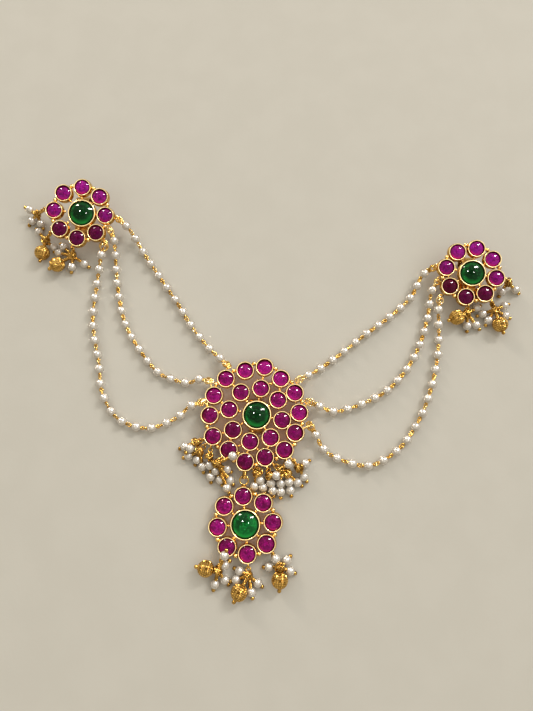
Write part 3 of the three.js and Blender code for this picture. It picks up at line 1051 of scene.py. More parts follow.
@dataclass(frozen=True)
class Floret:
    """A floret of stones in gold bezels, laid with a tilt: lengths in millimetres, angles in degrees."""

    name: str
    x: float
    y: float
    rim: float
    nod: float
    lean: float
    turn: float
    ring: float
    # How light each small stone is painted, in order round the floret: partly the stones' own colour, partly
    # painted light and shade, the upper stones lighter and the lower ones darker.
    lights: tuple[float, ...]
    outer_spots: tuple[Span, ...] = ()
    pink: bool = False
    middle: Span = (0.0, 0.0)
    middle_light: float = 0.09
    middle_size: float = 1.0
    spread: float = 0.0
    stone_tilt: float = 3.0
    count: int = 8
    granule: float = 0.88
    granule_gap: float = 0.25
    granule_bite: float = 0.72
    granule_drop: float = 1.1
    granule_tone: float = 0.75
    granule_around: int = 12
    bead: float = 0.55
    bridge: float = 1.7

    def place(self) -> Matrix:
        """Where the plane of the rims lies.

        Returns:
            The floret's place in the whole ornament, in millimetres.
        """
        nod = Matrix.Rotation(math.radians(self.nod), 4, "X")
        lean = Matrix.Rotation(math.radians(self.lean), 4, "Y")
        return Matrix.Translation((self.x, self.y, self.rim)) @ lean @ nod

    def middle_place(self) -> Matrix:
        """Where the middle bezel lies, a little off the floret's middle, and its own size."""
        shift = Matrix.Translation((*self.middle, 0.0))
        return self.place() @ shift @ Matrix.Scale(self.middle_size, 4)

    def inner(self) -> list[Vector]:
        """Middles of the first ring of bezels."""
        angles = [math.radians(self.turn + 360 * k / self.count) for k in range(self.count)]
        return [Vector((self.ring * math.cos(a), self.ring * math.sin(a), 0)) for a in angles]

    def outer(self) -> list[Vector]:
        """Middles of the second ring of bezels."""
        return [Vector((x, y, 0)) for x, y in self.outer_spots]

    def walls(self) -> list[Vector]:
        """Middles of the small bezels in the whole ornament's frame, halfway down their walls."""
        drop = Vector((0, 0, -SMALL_BEZEL.height / 2))
        return [self.place() @ (spot + drop) for spot in self.inner() + self.outer()]

    def granule_spots(self) -> list[tuple[Vector, float]]:
        """Where the gold granules sit: in the outer notches, round the middle and between the rings.

        Returns:
            Each granule's place on the floret, and its radius.
        """
        edge = self.outer() or self.inner()
        reach = SMALL_BEZEL.outer + self.granule_gap + self.granule_bite * self.granule
        spots = []
        for here, there in zip(edge, edge[1:] + edge[:1]):
            chord = there - here
            offset = math.sqrt(max(0.0, reach * reach - chord.length_squared / 4))
            outward = Vector((chord.y, -chord.x, 0)).normalized()
            spots.append((here + chord / 2 + outward * offset, self.granule))
        spoke = (MIDDLE_BEZEL.outer + self.ring - SMALL_BEZEL.outer) / 2
        spots += [(spot.normalized() * spoke, self.bead) for spot in self.inner()]
        widest = 2 * SMALL_BEZEL.outer + self.bridge
        for spot in self.inner():
            near = [other for other in self.outer() if (other - spot).length < widest]
            spots += [((spot + other) / 2, self.bead) for other in near]
        return [(spot + Vector((0, 0, -self.granule_drop)), size) for spot, size in spots]

    def build(
        self, moulds: Moulds, finishes: FinishRack
    ) -> tuple[bpy.types.Object, list[bpy.types.Object]]:
        """Makes the gold, the ruby domes and the middle stone.

        Args:
            moulds: the shapes to stamp.
            finishes: the materials.

        Returns:
            The gold setting, and the stones with the middle one last.
        """
        setting = self._gold(moulds, finishes)
        return setting, [self._rubies(moulds, finishes), self._emerald(moulds, finishes)]

    def _gold(self, moulds: Moulds, finishes: FinishRack) -> bpy.types.Object:
        """Makes the bezels and granules of the setting.

        Args:
            moulds: the shapes to stamp.
            finishes: the materials.

        Returns:
            The setting.
        """
        piece = Piece(f"{self.name}_gold_setting")
        piece.stamp(MIDDLE_BEZEL.bezel(moulds), self.middle_place())
        for spot in self.inner() + self.outer():
            piece.stamp(SMALL_BEZEL.bezel(moulds), self.place() @ Matrix.Translation(spot))
        for spot, size in self.granule_spots():
            granule = moulds.ball(size, self.granule_around)
            piece.stamp(granule, self.place() @ Matrix.Translation(spot), self.granule_tone)
        return piece.close(finishes.gold, [f"{self.name}_setting"])

    def _rubies(self, moulds: Moulds, finishes: FinishRack) -> bpy.types.Object:
        """Makes the domes of the small bezels.

        Args:
            moulds: the shapes to stamp.
            finishes: the materials.

        Returns:
            The domes.
        """
        piece = Piece(f"{self.name}_ruby_domes")
        chance = random.Random(f"{self.name} stones")
        for spot, tone in zip(self.inner() + self.outer(), self.lights):
            nod = -self.spread * spot.y + chance.uniform(-self.stone_tilt, self.stone_tilt)
            lean = self.spread * spot.x + chance.uniform(-self.stone_tilt, self.stone_tilt)
            tilt = Matrix.Rotation(math.radians(nod), 4, "X") @ Matrix.Rotation(math.radians(lean), 4, "Y")
            piece.stamp(SMALL_BEZEL.dome(moulds), self.place() @ Matrix.Translation(spot) @ tilt, tone)
        nodes = [f"{self.name}_ruby_{k + 1}" for k in range(self.count)]
        if self.outer_spots:
            nodes = [f"{self.name}_setting"]
        return piece.close(finishes.pink if self.pink else finishes.ruby, nodes)

    def _emerald(self, moulds: Moulds, finishes: FinishRack) -> bpy.types.Object:
        """Makes the dome of the middle bezel.

        Args:
            moulds: the shapes to stamp.
            finishes: the materials.

        Returns:
            The dome.
        """
        piece = Piece(f"{self.name}_emerald_dome")
        piece.stamp(MIDDLE_BEZEL.dome(moulds), self.middle_place(), self.middle_light)
        return piece.close(finishes.emerald, [f"{self.name}_emerald"])


FLORETS = {
    "left": Floret(
        "left", x=-71.4, y=81.0, rim=10.5, nod=12, lean=1, turn=39.6, ring=10.35, pink=True,
        lights=(0.64, 0.8, 0.57, 0.61, 0.08, 0.12, 0.07, 0.44), middle=(0.8, -0.2),
    ),
    "right": Floret(
        "right", x=85.7, y=56.2, rim=8.0, nod=11, lean=-4, turn=31.3, ring=9.9, pink=True,
        lights=(0.72, 0.9, 0.7, 0.42, 0.0, 0.08, 0.05, 0.51), middle=(0.4, -0.2), middle_size=0.955,
    ),
    "pendant": Floret(
        "pendant", x=-3.66, y=-40.13, rim=4.0, nod=2, lean=-2, turn=4.6, ring=10.18,
        lights=(0.56, 0.49, 0.45, 0.55, 0.74, 0.43, 0.58, 0.45), middle_light=0.8,
    ),
    "centre": Floret(
        "centre", x=0.0, y=0.0, rim=4.9, nod=2, lean=0, turn=33.6, ring=10.3,
        lights=(
            0.49, 0.54, 0.44, 0.41, 0.2, 0.35, 0.45, 0.34,
            0.73, 0.68, 1.0, 0.91, 0.81, 0.56, 0.69, 0.37, 0.42, 0.25, 0.24, 0.3, 0.44, 0.38,
        ),
        outer_spots=(
            (16.6, 0.8), (15.0, 8.4), (9.7, 13.9), (3.4, 18.4), (-4.1, 17.1), (-11.5, 13.9), (-16.0, 7.4),
            (-17.5, -0.2), (-16.1, -8.1), (-10.1, -13.2), (-3.9, -17.6), (3.6, -15.9), (10.9, -13.2),
            (15.0, -6.8),
        ),
        middle=(0.45, -0.1), spread=0.35,
    ),
}


def nearest_wall(florets: Iterable[Floret], point: Vector, inset: float) -> Vector:
    """Finds where a wire that comes from a point meets the nearest small bezel.

    Args:
        florets: the florets whose bezels are looked at.
        point: where the wire comes from.
        inset: how far inside the bezel's base it ends.

    Returns:
        The wire's end.
    """
    walls = [spot for floret in florets for spot in floret.walls()]
    wall = min(walls, key=lambda spot: (spot - point).length)
    outward = Vector((point.x - wall.x, point.y - wall.y, 0)).normalized()
    return wall + outward * (SMALL_BEZEL.base - inset)


# Strings of pearls


class Route:
    """A smooth line through given points, measured along its length."""

    def __init__(self, points: Sequence[Point], steps: int = 40) -> None:
        """Works out the line.

        Args:
            points: the points that it passes through, in millimetres.
            steps: how many short straight lines each stretch is cut into.
        """
        knots = [Vector(point) for point in points]
        knots = [2 * knots[0] - knots[1]] + knots + [2 * knots[-1] - knots[-2]]
        self.places = [knots[1]]
        for p0, p1, p2, p3 in zip(knots, knots[1:], knots[2:], knots[3:]):
            self.places += [self._between(p0, p1, p2, p3, k / steps) for k in range(1, steps + 1)]
        self.runs = [0.0]
        for here, there in zip(self.places, self.places[1:]):
            self.runs.append(self.runs[-1] + (there - here).length)
        self.length = self.runs[-1]

    @staticmethod
    def _between(p0: Vector, p1: Vector, p2: Vector, p3: Vector, share: float) -> Vector:
        """A point of one stretch, with speeds set by the square roots of the spans.

        Args:
            p0: the knot before the stretch.
            p1: the knot where it starts.
            p2: the knot where it ends.
            p3: the knot after it.
            share: how far along the stretch the point lies, from 0 to 1.

        Returns:
            The point.
        """
        d0, d1, d2 = (math.sqrt(span.length) for span in (p1 - p0, p2 - p1, p3 - p2))
        leave = ((p1 - p0) / d0 - (p2 - p0) / (d0 + d1) + (p2 - p1) / d1) * d1
        reach = ((p2 - p1) / d1 - (p3 - p1) / (d1 + d2) + (p3 - p2) / d2) * d1
        square, cube = share * share, share * share * share
        start = p1 * (2 * cube - 3 * square + 1) + leave * (cube - 2 * square + share)
        return start + p2 * (3 * square - 2 * cube) + reach * (cube - square)

    def at(self, run: float) -> tuple[Vector, Vector]:
        """The point at a distance along the line.

        Args:
            run: distance from the start, in millimetres.

        Returns:
            The point, and the way that the line goes there.
        """
        run = min(max(run, 0.0), self.length)
        last = len(self.runs) - 2
        index = next((k for k, reached in enumerate(self.runs[1:]) if reached >= run), last)
        here, there = self.places[index], self.places[index + 1]
        span = self.runs[index + 1] - self.runs[index]
        share = (run - self.runs[index]) / span if span else 0.0
        return here.lerp(there, share), (there - here).normalized()


@dataclass(frozen=True)
class LinkTray:
    """What one string's links are made with: its line, the moulds, chance and the links' piece."""

    route: Route
    moulds: Moulds
    chance: random.Random
    links: Piece


@dataclass(frozen=True)
class Strand:
    """A string of pearls on eye links, from a side floret to the large one."""

    name: str
    pearls: int
    route: tuple[Point, ...]
    first_ring: float = 1.2
    last_ring: float = 1.3
    lead: float = 4.6
    tail: float = 4.4
    pearl: float = 1.78
    pearl_tones: Span = (0.3, 1.0)
    wrap: WireRing = WireRing(0.36, 0.29, 8, 5)
    wrap_gaps: Span = (0.02, 0.3)
    wrap_tone: float = 0.5
    eye: WireRing = WireRing(0.62, 0.29, 10, 5)
    eye_back: float = 0.42
    eye_turns: Span = (50.0, 130.0)
    eye_step: float = 50.0
    eye_tones: Span = (0.45, 0.9)
    end: WireRing = WireRing(1.0, 0.34, 14, 6)
    end_turn: float = 12.0
    end_tones: Span = (0.55, 0.9)
    shank: float = 0.42
    shank_bite: float = 0.3
    shank_tone: float = 0.75

    def build(self, moulds: Moulds, finishes: FinishRack) -> bpy.types.Object:
        """Makes the pearls and the gold links.

        Args:
            moulds: the shapes to stamp.
            finishes: the materials.

        Returns:
            The pearls.
        """
        route = Route(self.route)
        pitch = (route.length - self.lead - self.tail) / (self.pearls - 1)
        runs = [self.lead + k * pitch for k in range(self.pearls)]
        chance = random.Random(self.name)
        beads = Piece(f"{self.name}_pearls")
        for run in runs:
            point, way = route.at(run)
            point.z = max(point.z, self.pearl)
            beads.stamp(moulds.ball(self.pearl), along(point, way), chance.uniform(*self.pearl_tones))
        strung = beads.close(finishes.pearl, [self.name])
        tray = LinkTray(route, moulds, chance, Piece(f"{self.name}_links"))
        for run in runs:
            self._eyes(tray, run, pitch)
        self._end_rings(tray, 1.0, self.first_ring)
        self._end_rings(tray, -1.0, self.last_ring)
        tray.links.close(finishes.gold, [self.name])
        return strung

    def _eyes(self, tray: LinkTray, run: float, pitch: float) -> None:
        """Adds the wrapped wire and the eye at each end of one pearl.

        Args:
            tray: what the links are made with.
            run: how far along the string the pearl is.
            pitch: the distance between pearls.
        """
        twist = tray.chance.uniform(*self.eye_turns)
        for sign in (-1.0, 1.0):
            for gap in self.wrap_gaps:
                point, way = tray.route.at(run + sign * (self.pearl + gap))
                tray.links.stamp(tray.moulds.ring(self.wrap), along(point, way), self.wrap_tone)
            point, way = tray.route.at(run + sign * (pitch / 2 - self.eye_back))
            place = upright(point, way, twist if sign > 0 else twist + self.eye_step)
            tray.links.stamp(tray.moulds.ring(self.eye), place, tray.chance.uniform(*self.eye_tones))

    def _end_rings(self, tray: LinkTray, step: float, ring: float) -> None:
        """Adds the shank, the eye on the floret, the jump rings and the last eye at one end of the string.

        Args:
            tray: what the links are made with.
            step: 1 at the string's start and -1 at its end.
            ring: the jump rings' radius.
        """
        begin = 0.0 if step > 0 else tray.route.length
        # How far along each ring lies, its radius and its turn
        stack = (
            (-0.5, 1.0, 60.0),
            (0.55 * ring, ring, 70.0),
            (0.75 * ring + 0.2, ring - 0.08, 35.0),
            (1.6 * ring + 0.55, 0.8, 50.0),
        )
        self._shank(tray, tray.route.at(begin)[0])
        for offset, radius, twist in stack:
            point, way = tray.route.at(begin + step * max(offset, 0.0))
            point = point + way * step * min(offset, 0.0)
            turned = twist + tray.chance.uniform(-self.end_turn, self.end_turn)
            mould = tray.moulds.ring(replace(self.end, radius=round(radius, 3)))
            tray.links.stamp(mould, upright(point, way, turned), tray.chance.uniform(*self.end_tones))

    def _shank(self, tray: LinkTray, point: Vector) -> None:
        """Adds the straight wire that reaches from the nearest bezel to one end of the string.

        Args:
            tray: what the links are made with.
            point: the string's end.
        """
        root = nearest_wall(FLORETS.values(), point, self.shank_bite)
        span = point - root
        mould = tray.moulds.rod(self.shank, round(span.length + self.shank_bite, 2))
        tray.links.stamp(mould, along(root, span.normalized()), self.shank_tone)


LEFT_UPPER_ROUTE = (
    (-57.0, 80.4, 6.5), (-52.6, 76.7, 4.5), (-47.0, 67.8, 2.0), (-39.8, 57.0, 1.65),
    (-32.2, 45.9, 1.65), (-25.3, 34.9, 1.65), (-18.2, 26.2, 2.0), (-14.7, 22.9, 3.0),
    (-11.0, 19.3, 4.0),
)
LEFT_MIDDLE_ROUTE = (
    (-59.9, 75.6, 6.0), (-58.6, 72.0, 4.5), (-57.7, 61.7, 2.0), (-56.0, 49.7, 1.65),
    (-52.8, 37.6, 1.65), (-46.5, 26.5, 1.65), (-38.1, 16.7, 1.65), (-32.0, 14.0, 1.65),
    (-26.4, 12.7, 2.0), (-22.2, 14.0, 3.0), (-17.8, 13.1, 4.0),
)
LEFT_LOWER_ROUTE = (
    (-61.9, 69.5, 5.5), (-63.2, 65.2, 4.5), (-64.8, 55.5, 2.0), (-65.6, 38.0, 1.65),
    (-62.0, 20.7, 1.65), (-59.6, 8.3, 1.65), (-52.8, -1.4, 1.65), (-41.0, -4.8, 1.65),
    (-29.4, -0.2, 2.0), (-25.6, 3.3, 3.0), (-20.5, 5.0, 4.0),
)
RIGHT_UPPER_ROUTE = (
    (71.9, 59.4, 5.5), (67.8, 57.1, 3.5), (62.6, 47.9, 2.0), (53.2, 39.3, 1.65), (43.2, 32.0, 1.65),
    (33.9, 24.6, 1.65), (24.5, 17.9, 2.0), (21.2, 15.9, 3.0), (16.6, 13.6, 4.0),
)
RIGHT_MIDDLE_ROUTE = (
    (73.2, 54.0, 5.0), (70.8, 49.9, 3.5), (68.8, 39.5, 2.0), (65.1, 28.4, 1.65), (59.4, 18.4, 1.65),
    (51.3, 9.9, 1.65), (41.1, 4.5, 1.65), (29.9, 1.5, 2.0), (25.2, 3.2, 3.0), (20.5, 5.0, 4.0),
)
RIGHT_LOWER_ROUTE = (
    (73.6, 46.6, 4.5), (72.9, 42.1, 3.5), (72.7, 30.7, 2.0), (70.7, 18.7, 1.65), (66.8, 6.5, 1.65),
    (61.4, -4.1, 1.65), (53.9, -13.2, 1.65), (42.9, -18.9, 1.65), (30.8, -16.1, 1.65),
    (25.6, -12.6, 2.0), (22.9, -7.5, 3.0), (20.6, -4.0, 4.0),
)
STRANDS = (
    Strand("left_strand_upper", 12, LEFT_UPPER_ROUTE),
    Strand("left_strand_middle", 14, LEFT_MIDDLE_ROUTE),
    Strand("left_strand_lower", 18, LEFT_LOWER_ROUTE, first_ring=1.7),
    Strand("right_strand_upper", 12, RIGHT_UPPER_ROUTE),
    Strand("right_strand_middle", 14, RIGHT_MIDDLE_ROUTE),
    Strand("right_strand_lower", 17, RIGHT_LOWER_ROUTE, first_ring=1.6),
)


# Bunches of drops


@dataclass(frozen=True)
class Drop:
    """One head pin: its way in degrees, how far each of its beads lies, and the last one's height."""

    turn: float
    reach: tuple[float, ...]
    lift: float = 1.65
    gold: bool = False

    def end(self, hub: Vector) -> Vector:
        """The middle of the last bead.

        Args:
            hub: the hub that the drop hangs from.

        Returns:
            The bead's middle.
        """
        angle = math.radians(self.turn)
        far = self.reach[-1]
        return Vector((hub.x + far * math.cos(angle), hub.y + far * math.sin(angle), self.lift))


@dataclass(frozen=True)
class Bunch:
    """Drops that hang together from one wire-wrapped hub."""

    name: str
    hub: Point
    drops: tuple[Drop, ...]


@dataclass(frozen=True)
class DropTray:
    """What one floret's drops are made with: the moulds, chance, and the pieces that take them."""

    moulds: Moulds
    chance: random.Random
    pearls: Piece
    wires: Piece
    balls: Piece

    def wire(self, size: WireRing, place: Matrix, tone: float) -> None:
        """Adds a wire ring."""
        self.wires.stamp(self.moulds.ring(size), place, tone)


@dataclass(frozen=True)
class DropCluster:
    """All bunches of one floret, with their pearls, gold balls and wire."""

    floret: Floret
    bunches: tuple[Bunch, ...]
    pearl: float = 1.7
    pearl_tones: Span = (0.3, 1.0)
    ball: CutBall = CutBall(3.07, 20, 12, pad_rise=0.15, pad_inset=0.15, pad_tone=0.8, crease=0.5)
    cap: WireRing = WireRing(0.5, 0.22, 10, 6)
    cap_sink: float = 0.1
    cap_tone: float = 0.5
    tie: WireRing = WireRing(0.85, 0.31, 10, 5)
    tie_pitch: float = 1.15
    tie_lead: float = 0.35
    tie_turn: float = 20.0
    wire_tones: Span = (0.4, 0.9)
    root_bite: float = 0.1
    knot: WireRing = WireRing(1.5, 0.31, 12, 5)
    knot_rings: int = 9
    knot_step: float = 0.22
    knot_lean: tuple[Span, ...] = ((-1.0, 1.0), (-1.0, 1.0), (-0.3, 0.9))
    knot_shift: tuple[Span, ...] = ((-0.55, 0.55), (-0.55, 0.55), (-0.2, 0.4))
    knot_tones: Span = (0.4, 0.85)
    loop: WireRing = WireRing(0.78, 0.31, 10, 5)
    loop_reach: float = 0.7
    wrap: WireRing = WireRing(0.5, 0.25, 9, 5)
    wrap_pitch: float = 0.4
    wrap_gap: float = 0.08
    wrap_room: float = 0.1
    wrap_slant: Point = (0.25, 0.2, 0.0)
    wrap_tones: Span = (0.4, 0.75)
    most_wraps: int = 12
    stem: float = 0.26
    least_stem: float = 0.3
    stem_tone: float = 0.3
    pin: float = 0.2
    pin_length: float = 0.6
    pin_sink: float = 0.1
    pin_tone: float = 0.5
    tip: float = 0.78
    tip_sides: tuple[int, int] = (10, 6)
    tip_gap: float = 0.5
    tip_tone: float = 0.65
    floor_gap: float = 0.02

    def build(self, moulds: Moulds, finishes: FinishRack) -> bpy.types.Object:
        """Makes the pearls, the gold balls and the gold wire.

        Args:
            moulds: the shapes to stamp.
            finishes: the materials.

        Returns:
            The pearls.
        """
        name = self.floret.name
        pieces = [Piece(f"{name}_drop_{kind}") for kind in ("pearls", "wires", "balls")]
        tray = DropTray(moulds, random.Random(f"{name} drops"), *pieces)
        for bunch in self.bunches:
            hub = Vector(bunch.hub)
            self._hub(tray, hub)
            for drop in bunch.drops:
                self._drop(tray, hub, drop)
        nodes = [bunch.name for bunch in self.bunches]
        hung = tray.pearls.close(finishes.pearl, nodes)
        tray.wires.close(finishes.wire, nodes)
        gold = [bunch.name for bunch in self.bunches if any(drop.gold for drop in bunch.drops)]
        if gold:
            tray.balls.close(finishes.antique, gold)
        return hung

    def _hub(self, tray: DropTray, hub: Vector) -> None:
        """Adds the rings that tie a hub to the nearest bezel, and the knot of rings at the hub.

        Args:
            tray: what the drops are made with.
            hub: the hub's middle.
        """
        chance = tray.chance
        root = nearest_wall([self.floret], hub, self.root_bite)
        way = (hub - root).normalized()
        count = max(2, round((hub - root).length / self.tie_pitch))
        for k in range(count):
            point = root.lerp(hub, (k + self.tie_lead) / count)
            twist = 90 * (k % 2) + chance.uniform(-self.tie_turn, self.tie_turn)
            tray.wire(self.tie, upright(point, way, twist), chance.uniform(*self.wire_tones))
        for k in range(self.knot_rings):
            lean = Vector([chance.uniform(*span) for span in self.knot_lean])
            shift = Vector([chance.uniform(*span) for span in self.knot_shift])
            ring = replace(self.knot, radius=round(self.knot.radius - self.knot_step * (k % 3), 3))
            tray.wire(ring, along(hub + shift, lean.normalized()), chance.uniform(*self.knot_tones))

    def _drop(self, tray: DropTray, hub: Vector, drop: Drop) -> None:
        """Adds one drop: its loop, wrapped wire, beads and the ball at the end of its pin.

        Args:
            tray: what the drops are made with.
            hub: the hub that it hangs from.
            drop: which way it points and how far its beads lie.
        """
        chance = tray.chance
        end = drop.end(hub)
        way = (end - hub).normalized()
        stretch = (end - hub).length / drop.reach[-1]
        radius = self.ball.radius if drop.gold else self.pearl
        start = self.loop_reach
        twist = chance.uniform(0, 180)
        tray.wire(self.loop, upright(hub + way * start, way, twist), chance.uniform(*self.wire_tones))
        for reach in drop.reach:
            run = reach * stretch
            self._wraps(tray, hub, way, start, run - radius)
            point = hub + way * run
            if drop.gold:
                mould = tray.moulds.cut_ball(self.ball)
                tray.balls.stamp(mould, along(point, way, chance.uniform(0, 90)))
                for side in (-1.0, 1.0):
                    middle = point + way * side * (radius - self.cap_sink)
                    tray.wire(self.cap, along(middle, way), self.cap_tone)
            else:
                point.z = max(point.z, radius)
                mould = tray.moulds.ball(radius)
                tray.pearls.stamp(mould, along(point, way), chance.uniform(*self.pearl_tones))
            start = run + radius
        tip = end + way * (radius + self.tip_gap)
        tip.z = max(tip.z, self.tip + self.floor_gap)
        pin = tray.moulds.rod(self.pin, self.pin_length)
        tray.wires.stamp(pin, along(end + way * (radius - self.pin_sink), way), self.pin_tone)
        tray.wires.stamp(tray.moulds.ball(self.tip, *self.tip_sides), along(tip, way), self.tip_tone)

    def _wraps(self, tray: DropTray, hub: Vector, way: Vector, start: float, near: float) -> None:
        """Adds the stem in front of one bead and the wire that is wrapped round it.

        Args:
            tray: what the drops are made with.
            hub: the hub that the drop hangs from.
            way: the way that it points.
            start: how far from the hub the stem begins.
            near: how far from the hub the bead begins.
        """
        turns = int((near - start - self.wrap_room) / self.wrap_pitch)
        slant = way + Vector(self.wrap_slant)
        for k in range(max(1, min(self.most_wraps, turns))):
            point = hub + way * (near - self.wrap_gap - self.wrap_pitch * k)
            tray.wire(self.wrap, along(point, slant), tray.chance.uniform(*self.wrap_tones))
        stem = tray.moulds.rod(self.stem, max(self.least_stem, near - start))
        tray.wires.stamp(stem, along(hub + way * start, way), self.stem_tone)


LEFT_BUNCHES = (
    Bunch(
        "left_drops_outer",
        (-91.9, 84.2, 3.2),
        (Drop(150, (3.6,), 3.2), Drop(-133, (3.5,)), Drop(-69, (4.0,))),
    ),
    Bunch(
        "left_drops_lower",
        (-87.1, 72.1, 3.2),
        (Drop(-100, (5.4,), 3.1, gold=True), Drop(130, (6.0,)), Drop(-37, (3.7,))),
    ),
    Bunch(
        "left_drops_inner",
        (-75.4, 65.4, 3.2),
        (
            Drop(-148, (7.1,), 3.1, gold=True), Drop(163, (6.7,)), Drop(135, (6.5,)), Drop(-97, (4.3,)),
            Drop(-33, (5.4,)),
        ),
    ),
)
RIGHT_BUNCHES = (
    Bunch(
        "right_drops_inner",
        (84.4, 40.6, 3.2),
        (Drop(-160, (4.4,), 3.1, gold=True), Drop(32, (5.4,)), Drop(-89, (4.7,)), Drop(-49, (5.7,))),
    ),
    Bunch(
        "right_drops_lower",
        (95.4, 42.3, 3.2),
        (
            Drop(-74, (6.4,), 3.1, gold=True), Drop(-162, (4.4,)), Drop(-118, (4.6,)),
            Drop(-24, (5.3,)), Drop(23, (5.3,)),
        ),
    ),
    Bunch("right_drops_outer", (101.7, 53.8, 3.6), (Drop(-119, (3.9,)), Drop(-35, (4.5,)))),
)
PENDANT_BUNCHES = (
    Bunch(
        "pendant_drops_left",
        (-13.3, -56.1, 3.2),
        (
            Drop(169, (4.5,), 3.1, gold=True), Drop(67, (6.1,), 5.8), Drop(40, (3.2,), 3.2),
            Drop(-104, (4.8,)), Drop(-53, (4.0,)),
        ),
    ),
    Bunch(
        "pendant_drops_middle",
        (-2.3, -57.5, 3.2),
        (
            Drop(-120, (6.7,), 3.1, gold=True), Drop(159, (3.6,)), Drop(-160, (4.8,)),
            Drop(-41, (4.3,)), Drop(-80, (6.0,)),
        ),
    ),
    Bunch(
        "pendant_drops_right",
        (9.1, -54.7, 3.4),
        (
            Drop(-93, (4.5,), 3.1, gold=True), Drop(-177, (4.0,)), Drop(120, (3.2,), 3.2),
            Drop(42, (3.2,)), Drop(-24, (3.9,)),
        ),
    ),
)
CENTRE_BUNCHES = (
    Bunch("centre_drops_1", (-22.4, -10.2, 3.2), (Drop(-160, (4.8,)), Drop(-133, (3.3,), 3.6))),
    Bunch(
        "centre_drops_2",
        (-21.1, -13.7, 3.2),
        (Drop(-160, (4.6,)), Drop(-110, (3.2,)), Drop(-79, (5.7,))),
    ),
    Bunch("centre_drops_3", (-17.4, -15.4, 4.2), (Drop(-86, (3.4, 7.6)), Drop(-65, (6.0, 9.6)))),
    Bunch(
        "centre_drops_4",
        (-14.4, -18.2, 5.6),
        (Drop(24, (6.6,), 6.8), Drop(-30, (4.2,), 2.6), Drop(-52, (7.8,)), Drop(-67, (9.6,))),
    ),
    Bunch("centre_drops_5", (0.7, -21.6, 3.2), (Drop(-103, (5.0,)), Drop(-68, (2.9, 5.7)))),
    Bunch("centre_drops_6", (5.2, -22.5, 3.2), (Drop(-77, (2.9, 5.7)), Drop(-2, (2.6,), 4.6))),
    Bunch("centre_drops_7", (9.4, -20.4, 3.2), (Drop(-89.5, (5.1, 8.1)), Drop(34, (3.6,), 4.6))),
    Bunch("centre_drops_8", (12.0, -22.0, 3.2), (Drop(-80, (3.0, 6.0)), Drop(-39, (4.9,)))),
    Bunch("centre_drops_9", (16.2, -19.8, 3.2), (Drop(33, (3.1,)), Drop(-58, (3.8,)))),
)
CLUSTERS = (
    DropCluster(FLORETS["left"], LEFT_BUNCHES),
    DropCluster(FLORETS["right"], RIGHT_BUNCHES),
    DropCluster(FLORETS["pendant"], PENDANT_BUNCHES),
    DropCluster(FLORETS["centre"], CENTRE_BUNCHES),
)


@dataclass(frozen=True)
class PendantHanger:
    """The wire coil and the ring that hang the pendant from the large floret."""

    upper: Point = (-3.95, -21.2, 3.0)
    lower: Point = (-4.42, -26.38, 3.0)
    ring: WireRing = WireRing(1.6, 0.32, 24, 8)
    ring_share: float = 0.6
    ring_tone: float = 0.75
    coil: WireRing = WireRing(0.78, 0.32, 14, 6)
    coil_turns: int = 4
    coil_step: float = 0.13
    coil_slant: float = 35.0
    coil_tone: float = 0.7
    core: WireRing = WireRing(0.78, 0.2, 10, 5)
    core_shift: float = 0.33
    core_tone: float = 0.35
    wrap: WireRing = WireRing(0.66, 0.27, 12, 6)
    wrap_turns: int = 2
    wrap_step: float = 0.5
    wrap_tone: float = 0.5

    def build(self, moulds: Moulds, finishes: FinishRack) -> None:
        """Makes the coil, the ring that it holds and the wrap below the ring.

        Args:
            moulds: the shapes to stamp.
            finishes: the materials.
        """
        upper, lower = Vector(self.upper), Vector(self.lower)
        way = (lower - upper).normalized()
        slant = Matrix.Rotation(math.radians(self.coil_slant), 3, "Z") @ way
        piece = Piece("pendant_hanger")
        middle = upper.lerp(lower, self.ring_share)
        piece.stamp(moulds.ring(self.ring), Matrix.Translation(middle), self.ring_tone)
        for k in range(self.coil_turns):
            point = upper.lerp(lower, self.coil_step * k)
            piece.stamp(moulds.ring(self.coil), along(point, slant), self.coil_tone)
            piece.stamp(moulds.ring(self.core), along(point + way * self.core_shift, way), self.core_tone)
        for k in range(self.wrap_turns):
            point = lower - way * (self.wrap_step * k)
            piece.stamp(moulds.ring(self.wrap), along(point, way), self.wrap_tone)
        piece.close(finishes.wire, ["pendant_bail"])


@dataclass(frozen=True)
class HairClips:
    """The plain folded clips under the florets, which keep their own solids."""

    nodes: tuple[str, ...] = ("left_hair_clip", "right_hair_clip", "centre_hair_clip")

    def dress(self, frame: dict, finishes: FinishRack) -> None:
        """Gives the clips their gold finish.

        Args:
            frame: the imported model.
            finishes: the materials.
        """
        for name in self.nodes:
            node = frame["nodes"][name]
            node.data.materials.clear()
            node.data.materials.append(finishes.gold.material)
            LOG.info("%s: dressed", name)


# Studio


@dataclass(frozen=True)
class AreaLamp:
    """One soft rectangular lamp: its place in millimetres, its sides in metres and its power in watts."""

    name: str
    place: Point
    width: float
    depth: float
    power: float
    colour: Tint
    reach: Reach = Reach.ALL


